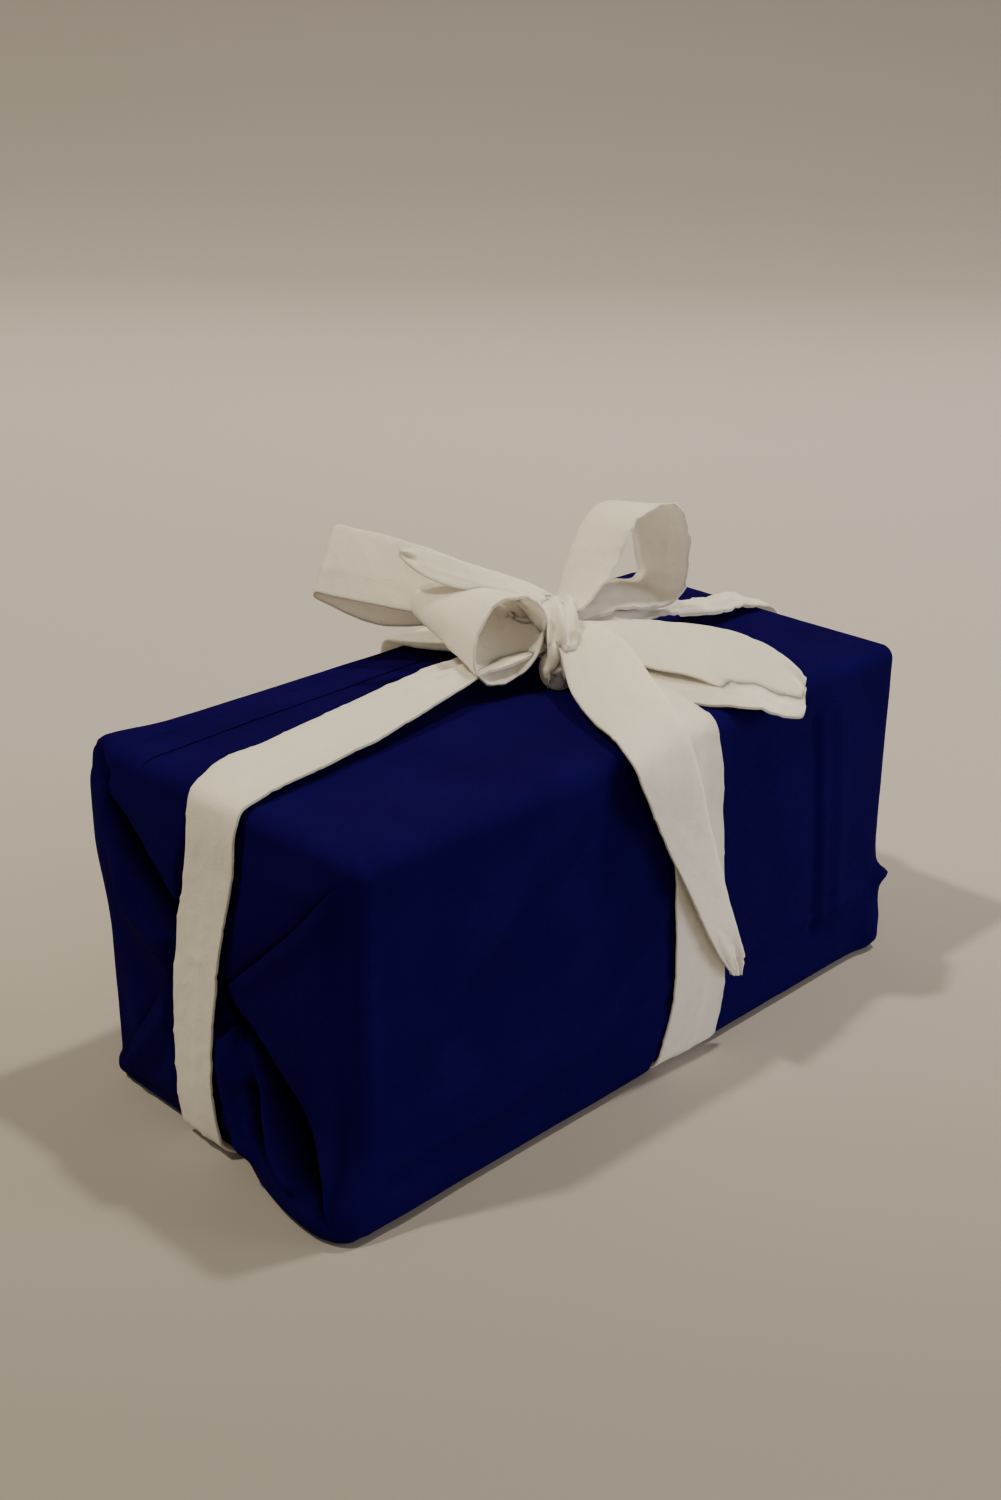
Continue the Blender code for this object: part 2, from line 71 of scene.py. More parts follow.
# The hem's stations by their distance from the free edge, and the rows of its rim from below, each
# with its drop as a share of both heights and its y from the edge.
HEM_WIDTH = 11.0
HEM_STATIONS = (0.0, 0.7, 1.6, 3.0, 4.6, 6.2, 7.8, 8.8, 9.5, 10.1, 10.6, 11.0, 11.4, 11.9, 12.6)
HEM_RIM = ((1.4, 0.6), (1.0, 0.0), (0.35, -0.12))
# The stitch line, and the puckers on both sides of it.
STITCH_SINK = 0.3
STITCH_WIDTH = 0.8
PUCKER_RISE = 0.55
PUCKER_WIDTH = 3.5
# How far from its start a flap has its full stand and folds, and the wound cloth's shape is gone.
STAND_REACH = 10.0
FOLD_REACH = 12.0
EDGE_FADE = 8.0
# A flap's turned side: angles round its roll, then steps back under the flap and inward.
ROLL_ANGLES = (35, 70, 105, 140, 175)
ROLL_REACH = 12.0
TURNED_BACK = ((3.0, 0.0), (4.0, 0.2))
BELLY_SPREAD = 7.0
# The cloth's gap under a strap. Between the two distances beside it the cloth may rise again by
# PRESS_RAMP, and beyond STRAP_REACH nothing is pressed.
STRAP_GAP = 0.5
PRESS_SIDE = (0.6, 8.0)
PRESS_RAMP = 7.0
STRAP_REACH = 24.0
# How much deeper a flap is pressed for each mm that it lies lower, and points pressed at a time.
PRESS_DEEPER = 0.8
PRESS_BATCH = 20000

# Folded tape: thickness of the double strip, gap between its layers, and angles round its fold.
TAPE_THICKNESS = 0.85
TAPE_SLOT = 0.06
TAPE_FOLD = (120, 150, 180, 210, 240)
TAPE_POINTS = 13
TAPE_STEP = 1.7
TAPE_FULL_WIDTH = 25.0
GATHER_RISE = 0.8
CREASE_RISE = 0.34
SEAM_RISE = 0.22
LUMP_RINGS = 24
LUMP_POINTS = 60

# -------- Tables


# The faces of the box: the direction out of each, and the axes of its places.
FACES = {
    "front": ((0, -1, 0), (0, 2)),
    "back": ((0, 1, 0), (0, 2)),
    "top": ((0, 0, 1), (0, 1)),
    "bottom": ((0, 0, -1), (0, 1)),
    "left": ((-1, 0, 0), (1, 2)),
    "right": ((1, 0, 0), (1, 2)),
}

# A soft ridge along a line of places on a face, or a trough where its rise is below 0.
Fold = namedtuple("Fold", "line width rise")
FOLDS = {
    "front": (
        # Low along the front, the ridge where the cloth's inner end may lie, and a dip below it.
        Fold(((-110, 20), (-54, 22), (7, 32), (47, 28), (104, 26)), 1.7, 0.55),
        Fold(((-110, 14), (-54, 16), (7, 25), (47, 22), (104, 20)), 4.0, -0.35),
        # Drape from the front strap down to the lower left, with light ridges beside it.
        Fold(((-12, 106), (-48, 84), (-83, 52)), 9.0, -2.2),
        Fold(((2, 92), (-34, 66), (-66, 40)), 8.0, 1.3),
        Fold(((-34, 104), (-70, 82), (-98, 60)), 8.0, 1.2),
        Fold(((0, 60), (-20, 40), (-44, 18)), 6.0, 0.9),
        Fold(((-60, 30), (-84, 16), (-104, 8)), 7.0, 0.8),
        # Upright press mark near the right end.
        Fold(((74, 100), (79, 60), (83, 22)), 2.4, -1.2),
        Fold(((78, 100), (83, 60), (87, 24)), 2.2, 0.6),
        Fold(((88, 98), (92, 60), (95, 26)), 3.2, 0.9),
        Fold(((44, 98), (50, 70), (60, 44)), 6.0, -0.5),
        Fold(((-112, 100), (-113, 30)), 5.0, -0.6),
        # The right end's lower corner is fuller.
        Fold(((121, 2), (121, 12)), 7.0, 2.5),
    ),
    "back": (
        Fold(((-60, 96), (-20, 60), (30, 30)), 10.0, -1.0),
        Fold(((40, 98), (70, 62), (96, 30)), 9.0, 0.8),
        Fold(((-100, 80), (-70, 40), (-60, 20)), 7.0, 0.6),
        # The left end's edge is fuller at its top and foot.
        Fold(((-121, 84), (-121, 106)), 24.0, 2.9),
        Fold(((-121, 14), (-121, 24)), 9.0, -1.6),
        Fold(((-121, 2), (-119, 6)), 5.0, 3.0),
    ),
    "top": (
        Fold(((60, -30), (90, -12), (108, 14)), 9.0, -0.6),
        Fold(((-90, -22), (-50, -30), (-20, -20)), 9.0, -0.8),
        Fold(((-30, -50), (-60, -40), (-100, -44)), 8.0, 0.5),
        Fold(((24, -48), (60, -46), (100, -50)), 7.0, 0.4),
        Fold(((-118, 60), (-112, 60)), 10.0, 0.8),
    ),
    "left": (
        # The groove starts in the corner, between fuller cloth on both sides.
        Fold(((57, 112), (52, 106)), 3.6, -4.0),
        Fold(((60, 88), (60, 104)), 20.0, 2.2),
        # Loose belly above the floor.
        Fold(((-22, 8), (-38, 10), (-52, 8)), 13.0, 3.0),
    ),
    "right": (
        Fold(((50, 104), (36, 90), (20, 75)), 4.0, -1.5),
        # Fuller lower front corner, and a small ear above it.
        Fold(((-60, 3), (-58, 24)), 12.0, 4.0),
        Fold(((-57, 29), (-53, 27.5)), 2.8, 3.8),
    ),
}
# (x, y) places of the outer layer's free edge on top.
FREE_EDGE = ((-120, 34.5), (-50, 37.0), (20, 40.0), (120, 38.0))

# A flap grows from one edge of an end face. low and high are the (y, z) points of its two free
# sides after the corner, low being the one at lower z, or at lower y on a top or bottom flap;
# stand is how far it lies off the end, roll the radius of its folded edges, folded names the
# sides that turn under, and folds are its own.
Flap = namedtuple("Flap", "end side low high stand roll folded folds")
FLAPS = (
    # On the left end the top flap's back side is a lip over the back flap, which sinks under it
    # and then swells into a soft roll. The front flap's lower side is another lip, over the
    # hollow in front of the bottom flap's folds.
    Flap("left", "top", ((-40, 84), (-30, 50)),
         ((47.5, 104), (39.5, 98), (31, 90), (20, 80.5), (8, 71)), 1.2, 0.9, "high", (
        Fold(((-30, 104), (-14, 84), (-4, 66)), 7.0, 0.8),
        Fold(((26, 108), (16, 90), (4, 72)), 6.0, 0.7),
    )),
    Flap("left", "back", ((34, 12), (-6, 16)),
         ((47, 109), (37, 103), (25, 93), (10, 81), (-8, 68)), 0.6, 0.6, "", (
        Fold(((53, 105), (47.5, 97.5), (40, 91), (32, 84), (21.5, 75), (9, 67)), 5.6, -12.0),
        Fold(((-17, 49.5), (-8, 57), (3, 62)), 7.0, -11.0),
        Fold(((53, 84), (47, 76), (38, 68), (27, 62), (19, 59)), 6.5, 4.2),
        Fold(((56, 70), (48, 56), (38, 44)), 6.0, -1.2),
        Fold(((55, 50), (47, 38), (42, 28)), 6.0, 0.8),
        Fold(((52, 30), (46, 24), (40, 22)), 3.5, 0.6),
    )),
    Flap("left", "front",
         ((-51, 17), (-45.5, 25), (-37.8, 35), (-28.4, 44.5), (-18.9, 52.5), (-10, 58)),
         ((-46.9, 101.4), (-36, 89), (-26, 79), (-8, 62)), 2.8, 0.9, "low high", (
        Fold(((-50, 101), (-36, 86), (-15, 66)), 3.6, 1.1),
        Fold(((-55, 84), (-46, 62), (-42, 42)), 8.0, -0.9),
    )),
    Flap("left", "bottom", ((-53, 22), (-45, 34), (-35, 44), (-25, 53), (-9, 66)),
         ((46, 15), (40, 25.5), (33, 35), (28, 42), (12, 66)), 3.4, 0.8, "high tip", (
        Fold(((-4, 57), (-6, 42), (-9, 28), (-15, 16)), 5.5, 4.2),
        Fold(((-50, 12), (-43, 22), (-35, 32), (-26, 42), (-17, 49.5), (-7, 56)), 7.5, -15.5),
        Fold(((-3, 55), (-6.5, 48), (-7, 39), (-10, 29), (-14, 23), (-21, 17), (-34, 9)),
             2.6, 2.6),
        Fold(((-5, 48), (-8, 37), (-12, 27), (-17, 19), (-25, 13), (-34, 8)), 2.4, -3.4),
        Fold(((-14, 45), (-21, 36), (-25, 28), (-30, 21), (-38, 15), (-45, 13.5),
                      (-48, 10), (-44, 5)), 2.6, 5.0),
        Fold(((-17, 32), (-22, 22), (-29, 15), (-38, 9.5)), 2.6, -3.0),
        Fold(((26, 36), (38, 22), (50, 8)), 3.0, 0.9),
        Fold(((22, 30), (30, 18), (42, 8)), 3.0, -0.8),
    )),
    Flap("right", "top", ((-48, 80), (-38, 50)), ((48, 80), (38, 50)), 0.0, 0.4, "", (
        Fold(((-6, 106), (8, 86), (16, 66)), 8.0, 0.7),
    )),
    Flap("right", "back", ((34, 12), (8, 16)), ((38, 93), (24, 78), (9, 62)), 1.6, 0.8, "high", (
        Fold(((50, 100), (32, 80), (14, 62)), 4.5, 1.2),
        Fold(((52, 70), (40, 48), (34, 30)), 8.0, -1.0),
        Fold(((54, 40), (44, 30), (36, 28)), 5.0, 0.8),
    )),
    Flap("right", "front", ((-30, 12), (-8, 16)), ((-39, 94), (-26, 80), (-12, 64)),
         1.6, 0.8, "high", (
        Fold(((-50, 101), (-34, 84), (-16, 66)), 4.5, 1.2),
        Fold(((-52, 70), (-42, 50), (-36, 34)), 7.0, -1.0),
    )),
    Flap("right", "bottom", ((-40, 20), (-26, 36), (-12, 58)), ((38, 22), (24, 38), (8, 60)),
         3.0, 0.8, "low high tip", (
        Fold(((38, 8), (20, 24), (-4, 50)), 5.0, 1.2),
        Fold(((-34, 8), (-14, 24), (2, 50)), 5.0, -1.0),
        Fold(((-46, 8), (-28, 22), (-13, 44)), 4.0, 1.2),
    )),
)

# Strips. A row holds the x, y and z of a strip's middle, the direction across it as its turn
# about Z from +X and its tilt above level in degrees, and the strip's width there.
LENGTHWISE = (
    (13, 1, 130, -98, 0, 17),
    (-6, 3, 127.8, -98, 0, 18),
    (-20, 5, 125.5, -97, -3, 15),
    (-38, 5, 123.5, -94, -3, 19),
    (-64, 4, 120.5, -92, 0, 24),
    (-90, 2.5, 118.6, -91, 0, 25),
    (-114, 0, 117.2, -90, 0, 24),
    (-120.6, -1, 114.6, -90, 5, 23),
    (-122.6, -1.5, 109, -91, 12, 23),
    (-123.4, 0, 94, -94, 14, 24),
    (-124.4, 4, 76, -97, 13, 25),
    (-125.2, 7, 56, -99, 12, 25),
    (-125.4, 9, 38, -100, 12, 24),
    (-125.2, 10, 22, -99, 12, 22),
    (-124.2, 10, 10, -96, 6, 21),
    (-123, 9.8, 4.6, -93, 2, 20),
    (-119.6, 9.4, 1.5, -90, 0, 20),
    (-114, 9, 0.6, -90, 0, 21),
    (-104, 8.5, 0.6, -90, 0, 23),
    (0, 3, 0.6, -90, 0, 25),
    (104, -1, 0.6, -90, 0, 25),
    (115, -1, 0.6, -90, 0, 25),
    (121, -1, 1.7, -90, 0, 25),
    (124, -1, 5, -90, 0, 25),
    (124.8, -1, 11, -90, 0, 25),
    (124.8, -1, 36, -90, 0, 25),
    (124.6, -1, 64, -90, 0, 25),
    (123, -1, 92, -90, 0, 25),
    (122.2, 0.5, 108, -90, 0, 22),
    (120.4, 2.5, 114.8, -90, 2, 18),
    (112, 2.6, 117.4, -91, 0, 14.5),
    (88, 2.2, 121.2, -94, 9, 13.5),
    (60, 1, 126.8, -96, 8, 14.5),
    (34, -0.5, 131, -97, 3, 16),
)
CROSSWISE = (
    (13, 2, 125, 0, 0, 18),
    (12.5, -14, 124.5, 2, 0, 18),
    (11, -34, 121, 3, 0, 22),
    (10, -52, 117.4, 3, 0, 25),
    (10, -58.6, 114.8, 2, 0, 25),
    (10.5, -60.6, 108, 2, 0, 25),
    (13, -61.2, 88, 4, 0, 25),
    (15.5, -61.4, 64, 4, 0, 25),
    (18, -61.2, 40, 2, 0, 25),
    (18, -60.6, 18, -2, 0, 25),
    (16, -60.3, 10, -4, 0, 25),
    (15, -59.6, 5, -4, 0, 25),
    (14.6, -57, 2, -3, 0, 25),
    (14.2, -52, 1.0, -2, 0, 25),
    (14, -44, 1.0, -2, 0, 25),
    (10.5, 44, 1.0, -2, 0, 25),
    (10, 52, 1.0, -2, 0, 25),
    (9.8, 57, 2, -1, 0, 25),
    (9.6, 60, 5, 0, 0, 25),
    (9.4, 60.9, 11, 0, 0, 25),
    (9, 61.4, 36, 0, 0, 25),
    (8, 61.8, 66, 0, 0, 25),
    (7, 61.4, 96, 0, 0, 25),
    (6.5, 60.8, 110, 0, 0, 25),
    (6.5, 57.6, 117.0, 0, 0, 25),
    (7, 50, 117.9, 0, 0, 25),
    (9, 30, 120.4, 0, 0, 22),
    (11.5, 14, 124.5, 0, 0, 18),
)
KNOT_BAND = (
    (3, -13, 132, -45, 6, 9),
    (2.5, -13.5, 124, -50, 10, 8),
    (6, -10, 118.0, -52, 4, 8),
    (15, 0, 120.2, -45, 0, 10),
    (22, 8, 129, -45, 0, 12),
    (19, 5, 138, -45, 0, 11),
    (12, -2.5, 141.2, -45, -6, 11),
    (6, -10, 138.6, -44, -4, 10),
)
# The knot's lumps. KNOT_TURN is their direction about Z in degrees.
Lump = namedtuple("Lump", "middle radii")
KNOT_TURN = -45
KNOT_LUMPS = (
    Lump((13, -2, 130.5), (7.0, 7.5, 9.5)),
    Lump((5.5, -10, 123.0), (7.2, 5.0, 6.6)),
    Lump((9.5, -7, 128.5), (6.0, 6.0, 8.5)),
)

LEFT_BACK_LOOP = (
    (11, -1, 136, -148, -40, 9),
    (3, 13, 139, -150, -50, 13),
    (-5, 29, 142.5, -156, -55, 19.5),
    (-14, 44, 145.5, -157, -57, 22),
    (-22.5, 56.5, 148, -162, -57, 23),
    (-26.5, 62, 148.8, -165, -56, 23),
    (-26.2, 63.6, 147.4, -162, -56, 23),
    (-22, 60.5, 144.4, -156, -56, 24),
    (-12, 52, 138.5, -143, -53, 25),
    (-3, 40, 136.5, -141, -46, 21),
    (4, 22, 135, -143, -38, 14),
    (9, 4, 133, -142, -35, 9),
)
LEFT_FRONT_LOOP = (
    (4.6, -1, 134, -121, 0, 15),
    (2.8, 0.5, 140.6, -107, 0, 19),
    (-2.5, 5.5, 145.2, -88, 4, 23.5),
    (-13.5, 13, 146.0, -86, -2, 28),
    (-21, 13.5, 140.6, -90, -10, 29),
    (-22.5, 11.5, 133.0, -92, -20, 29),
    (-16.2, 7.8, 129.2, -100, -30, 28),
    (-9.5, 4.8, 129.8, -106, -37, 26),
    (-3, 2.2, 131.1, -110, -33, 23),
    (2.8, 0.1, 133.4, -118, -20, 19),
    (5.8, -1.2, 137.2, -121, 0, 15),
)
RIGHT_FRONT_LOOP = (
    (10, -4, 132, -140, -40, 9),
    (20, -14, 131.4, -136, -36, 12),
    (29, -25, 129.2, -130, -30, 19.5),
    (39, -36, 127.2, -133, -25, 23.5),
    (44, -42, 125.2, -134, -28, 25.5),
    (50, -49.5, 122.6, -135, -32, 24.5),
    (55.2, -57, 119.8, -138, -34, 20),
    (57.6, -62, 117.2, -140, -34, 15),
    (58.2, -65, 115.3, -142, -28, 12.5),
    (55.8, -66.4, 114.2, -144, -18, 14),
    (50, -64, 114.8, -148, -8, 17),
    (43, -57.4, 117.8, -152, -5, 18),
    (36, -47, 119.6, -156, -8, 19),
    (29, -36, 120.8, -158, -12, 18),
    (22, -23, 123.5, -154, -16, 13),
    (12, -6, 128, -140, -30, 9),
)
RIGHT_BACK_LOOP = (
    (13, 1, 133, -100, 10, 9),
    (22, 0.5, 138.5, -95, 12, 17),
    (28, 0.5, 146, -92, 12, 21),
    (34, 1, 154.5, -94, 8, 23),
    (40.5, 2, 161, -104, 5, 25),
    (49.5, 2, 164, -106, 8, 25),
    (58.5, 1, 162.3, -100, 14, 25),
    (64.4, 1, 154, -92, 12, 25),
    (65.4, 1, 144, -95, 10, 25),
    (66.5, 1.5, 136.6, -98, 8, 24),
    (64, 2, 133.6, -102, 2, 23),
    (52, 3, 134.4, -106, -3, 21),
    (36, 2, 136.4, -112, -4, 17),
    (16, 0, 132, -110, 0, 9),
)
FRONT_TAIL = (
    (11, -4, 134, 160, -20, 9),
    (9.5, -15, 133, 165, -22, 16),
    (5.5, -27, 127.5, 175, -18, 26),
    (0, -41, 123, -176, -12, 28.5),
    (-4.5, -54, 119.8, -173, -6, 28.5),
    (-6.5, -61.5, 115.2, -174, -3, 27.5),
    (-4.5, -64.6, 106, -176, 6, 27.5),
    (1, -65, 92, -175, 14, 27.5),
    (7.5, -65, 78, -174, 18, 26.5),
    (15.5, -65, 62, -173, 21, 24),
    (23.5, -65, 46, -173, 22, 20),
    (30, -64.5, 34, -173, 20, 14),
    (34, -64, 25.5, -170, 18, 4),
)
LEFT_TAIL = (
    (11, -1, 141, -130, -30, 6),
    (4, 4, 145, -136, -38, 7.5),
    (-3, 9, 147.6, -142, -48, 8),
    (-11, 15, 150.6, -146, -54, 8.5),
    (-17.5, 21.5, 153.6, -150, -56, 8.8),
    (-21.5, 26, 156, -152, -56, 6.5),
    (-23.8, 28.8, 157.4, -152, -56, 3.4),
    (-24.6, 29.6, 157.9, -152, -56, 2.0),
)

# The bow's open runs: the width below which each is gathered, and the waves of its open edge.
Run = namedtuple("Run", "table full scallop")
BOW = (
    Run(LEFT_BACK_LOOP, TAPE_FULL_WIDTH, 0.0),
    Run(LEFT_FRONT_LOOP, 12.5, 0.35),
    Run(RIGHT_FRONT_LOOP, 22.0, 0.0),
    Run(RIGHT_BACK_LOOP, 22.0, 0.5),
    Run(FRONT_TAIL, TAPE_FULL_WIDTH, 0.0),
    Run(LEFT_TAIL, 9.0, 0.0),
)

# -------- Small helpers


def smooth(value, start, end):
    share = np.clip((value - start) / (end - start), 0.0, 1.0)
    return share * share * (3.0 - 2.0 * share)


def line_distance(places, line):
    """Distance of many plane points to a line of points."""
    line = np.array(line, float)
    best = np.full(len(places), np.inf)
    for start, along in zip(line, np.diff(line, axis=0)):
        share = np.clip((places - start) @ along / (along @ along), 0.0, 1.0)
        off = places - start - share[:, None] * along
        best = np.minimum(best, np.hypot(off[:, 0], off[:, 1]))
    return best


def fold_relief(places, folds):
    height = np.zeros(len(places))
    for fold in folds:
        height += fold.rise * np.exp(-((line_distance(places, fold.line) / fold.width) ** 2))
    return height


def drift(*place):
    """Smooth noise of about -1 to 1 at a place of three numbers."""
    return noise.noise(Vector(place))


def wander(points, scale, seed):
    """Smooth noise at each point; scale is its wavelength."""
    shift = Vector((seed * 17.3, seed * 5.7, seed * 9.1))
    return np.array([noise.noise(Vector(point) / scale + shift) for point in points])


def side_line(start, end, step):
    """Even points from start to end."""
    count = max(1, int(round(math.dist(start, end) / step)))
    share = np.linspace(0, 1, count + 1)[:, None]
    return np.array(start, float) * (1 - share) + np.array(end, float) * share


def travel(points):
    """The distance travelled along a line of points, at each of them."""
    return np.concatenate(([0.0], np.cumsum(np.linalg.norm(np.diff(points, axis=0), axis=1))))


def hermite(values, gaps, closed, counts):
    """Smooth curve through rows of values, with counts[k] steps from row k to the next."""
    number = len(values)
    steps = (np.roll(values, -1, axis=0) - values) / gaps[:, None]
    before, after = np.roll(gaps, 1)[:, None], gaps[:, None]
    slopes = (np.roll(steps, 1, axis=0) * after + steps * before) / (before + after)
    if not closed:
        slopes[0], slopes[-1] = steps[0], steps[-2]
    points = []
    for row in range(number if closed else number - 1):
        start, end = values[row], values[(row + 1) % number]
        lead, trail = slopes[row] * gaps[row], slopes[(row + 1) % number] * gaps[row]
        for step in range(counts[row]):
            t = step / counts[row]
            points.append(
                (2 * t**3 - 3 * t**2 + 1) * start
                + (t**3 - 2 * t**2 + t) * lead
                + (3 * t**2 - 2 * t**3) * end
                + (t**3 - t**2) * trail
            )
    if not closed:
        points.append(values[-1])
    return np.array(points)


def new_object(name, data):
    made = bpy.data.objects.new(name, data)
    bpy.context.scene.collection.objects.link(made)
    return made


class Sheets:
    """Collects grids of points and makes one mesh of them."""

    def __init__(self):
        self.points, self.uvs, self.faces, self.count = [], [], [], 0

    def add(self, points, uvs, closed=False):
        """A grid of rows by columns. Its outside is along (next row) x (next column); closed
        joins the last column to the first."""
        lines, columns = points.shape[:2]
        index = np.arange(lines * columns).reshape(lines, columns) + self.count
        if closed:
            index = np.concatenate((index, index[:, :1]), axis=1)
        quads = np.stack((index[:-1, :-1], index[1:, :-1], index[1:, 1:], index[:-1, 1:]), axis=-1)
        self.points.append(points.reshape(-1, 3))
        self.uvs.append(uvs.reshape(-1, 2))
        self.faces.extend(quads.reshape(-1, 4).tolist())
        self.count += lines * columns
        return index

    def make(self, name, weld, sharp):
        """The object: points nearer than weld are joined, and edges over sharp degrees stay
        sharp."""
        data = bpy.data.meshes.new(name)
        data.from_pydata((np.concatenate(self.points) * MM).tolist(), [], self.faces)
        uvs = np.concatenate(self.uvs) * MM
        corner = np.empty(len(data.loops), np.int32)
        data.loops.foreach_get("vertex_index", corner)
        layer = data.uv_layers.new(name="UVMap")
        layer.data.foreach_set("uv", uvs[corner].reshape(-1))
        if weld:
            mesh = bmesh.new()
            mesh.from_mesh(data)
            bmesh.ops.remove_doubles(mesh, verts=mesh.verts, dist=weld * MM)
            mesh.to_mesh(data)
            mesh.free()
        data.polygons.foreach_set("use_smooth", [True] * len(data.polygons))
        data.set_sharp_from_angle(angle=math.radians(sharp))
        data.update()
        return new_object(name, data)


# -------- Cloth


def crown(face, points):
    halves = (LENGTH / 2, DEPTH / 2, HEIGHT / 2)
    middle = (0.0, 0.0, HEIGHT / 2)
    height = np.full(len(points), CROWN)
    for axis in FACES[face][1]:
        off = (points[:, axis] - middle[axis]) / halves[axis]
        height *= np.maximum(0.0, 1.0 - off * off)
    return height


def free_edge(x):
    return np.interp(x, *np.transpose(FREE_EDGE))


def relief(points, normals):
    """How far the cloth stands off the plain rounded box, with its small unevenness."""
    height = wrinkles(points)
    for face, (outward, axes) in FACES.items():
        facing = smooth(normals @ np.array(outward, float), *FACING)
        height += facing * fold_relief(points[:, list(axes)], FOLDS.get(face, ()))
        if face != "bottom":
            height += facing * crown(face, points)
    return height


def wrinkles(points):
    """Small unevenness of soft cotton drawn over a box."""
    fine = 0.26 * wander(points * (1.0, 1.0, 0.7), 34.0, 1)
    fine += 0.13 * wander(points * (0.8, 1.0, 1.0), 13.0, 2)
    fine += 0.045 * wander(points, 5.0, 3)
    return fine


def end_relief(places, sign):
    """The relief at (y, z) places of an end face, without its flaps."""
    points = np.column_stack((np.full(len(places), sign * LENGTH / 2), places))
    return relief(points, np.tile((float(sign), 0.0, 0.0), (len(places), 1)))


def hem_relief(x, behind):
    """The outer layer's height on top with its hem, stitch line and puckers, at distances behind
    the free edge."""
    hem = HEM_RISE * (1.0 - smooth(behind, HEM_WIDTH - 1.0, HEM_WIDTH + 1.5))
    stitch = STITCH_SINK * np.exp(-(((behind - HEM_WIDTH) / STITCH_WIDTH) ** 2))
    pucker = drift(x / 4.2, 3.0, 0.5) + 0.7 * drift(x / 2.0, 8.0, 0.5)
    near = np.exp(-(((behind - HEM_WIDTH) / PUCKER_WIDTH) ** 2))
    return LAYER + hem - stitch + PUCKER_RISE * max(pucker, -0.25) * near


def girth():
    """The way round the box, as (y, z, normal y, normal z, side) stations. It starts at the
    free edge on top, goes over the back, under the box and up the front, and ends on top below
    that edge. The hem's stations hold their distance from the free edge as y, and those behind
    it their share of the way to the back's edge."""
    half = DEPTH / 2
    inner_y, inner_z = half - EDGE_RADIUS, HEIGHT - EDGE_RADIUS
    stations = [(offset, HEIGHT, 0.0, 1.0, "hem") for offset in HEM_STATIONS]
    stations += [(share, HEIGHT, 0.0, 1.0, "behind") for share in (0.33, 0.67, 1.0)]

    def arc(centre_y, centre_z, first):
        for angle in np.radians(np.linspace(first, first - 90, ARC_STEPS + 1)[1:-1]):
            ny, nz = math.cos(angle), math.sin(angle)
            y, z = centre_y + EDGE_RADIUS * ny, centre_z + EDGE_RADIUS * nz
            stations.append((y, z, ny, nz, "arc"))

    def face(start, end, normal, side, step=CLOTH_STEP):
        stations.extend((y, z, *normal, side) for y, z in side_line(start, end, step))

    arc(inner_y, inner_z, 90)
    face((half, inner_z), (half, EDGE_RADIUS), (1, 0), "back")
    arc(inner_y, EDGE_RADIUS, 0)
    face((inner_y, 0), (-inner_y, 0), (0, -1), "bottom", BOTTOM_STEP)
    arc(-inner_y, EDGE_RADIUS, -90)
    face((-half, EDGE_RADIUS), (-half, inner_z), (-1, 0), "front")
    arc(-inner_y, inner_z, 180)
    face((-inner_y, HEIGHT), (INNER_END, HEIGHT), (0, 1), "top")
    return stations


def sections():
    """(x, angle) along the parcel; over an end's round edge the angle goes to a quarter turn."""
    inner = LENGTH / 2 - EDGE_RADIUS
    arc = np.linspace(0, 90, ARC_STEPS + 1)[1:]
    places = [(-inner, -angle) for angle in reversed(arc)]
    places += [(x, 0.0) for x, _ in side_line((-inner, 0), (inner, 0), CLOTH_STEP)]
    return places + [(inner, angle) for angle in arc]


def wound_cloth(sheets):
    """Adds the wound part of the cloth. Returns the side of each station round it, and its rings
    of points and UVs."""
    stations = girth()
    sides = np.array([station[4] for station in stations])
    table = np.array([station[:4] for station in stations])
    across = table[:, 2:]
    outer = int(np.argmax(sides == "back"))
    inner_y = DEPTH / 2 - EDGE_RADIUS
    grid, length = [], []
    for x, angle in sections():
        edge = float(free_edge(x))
        last = edge + HEM_STATIONS[-1]
        y = table[:, 0].copy()
        y[sides == "hem"] += edge
        y[sides == "behind"] = last + (inner_y - last) * y[sides == "behind"]
        turn = math.radians(angle)
        normals = np.column_stack((np.full(len(y), math.sin(turn)), math.cos(turn) * across))
        points = np.column_stack((np.full(len(y), x), y, table[:, 1]))
        points[:, 1:] -= EDGE_RADIUS * across
        points += EDGE_RADIUS * normals
        height = relief(points, normals)
        layered = smooth(normals[:, 2], *FACING) * hem_relief(x, points[:, 1] - edge)
        height[:outer] += layered[:outer]
        # The inner layer on top sinks a little under the outer one.
        inner = sides == "top"
        height[inner] -= smooth(points[inner, 1], edge + 0.5, edge + 5.0)
        grid.append(points + normals * height[:, None])
        length.append(x + EDGE_RADIUS * turn)
    grid = np.array(grid)
    down = travel(grid[len(grid) // 2])
    uvs = np.stack(np.meshgrid(np.array(length), down, indexing="ij"), axis=-1)
    rim = [grid[:, 0] + (0.0, back, -drop * (LAYER + HEM_RISE)) for drop, back in HEM_RIM]
    rim_uvs = [uvs[:, 0] - (0.0, steps) for steps in range(len(HEM_RIM), 0, -1)]
    full = np.concatenate((np.stack(rim, axis=1), grid), axis=1)
    sheets.add(full, np.concatenate((np.stack(rim_uvs, axis=1), uvs), axis=1))
    return sides, grid, uvs


def edge_curve(start, points, count):
    """Even points on a smooth curve from a corner through a flap side's points."""
    line = np.array([start, *points], float)
    gaps = np.linalg.norm(np.roll(line, -1, axis=0) - line, axis=1)
    fine = hermite(line, gaps, False, [CURVE_STEPS] * (len(line) - 1))
    places = travel(fine)
    even = np.linspace(0, places[-1], count)
    return np.column_stack([np.interp(even, places, fine[:, axis]) for axis in range(2)])


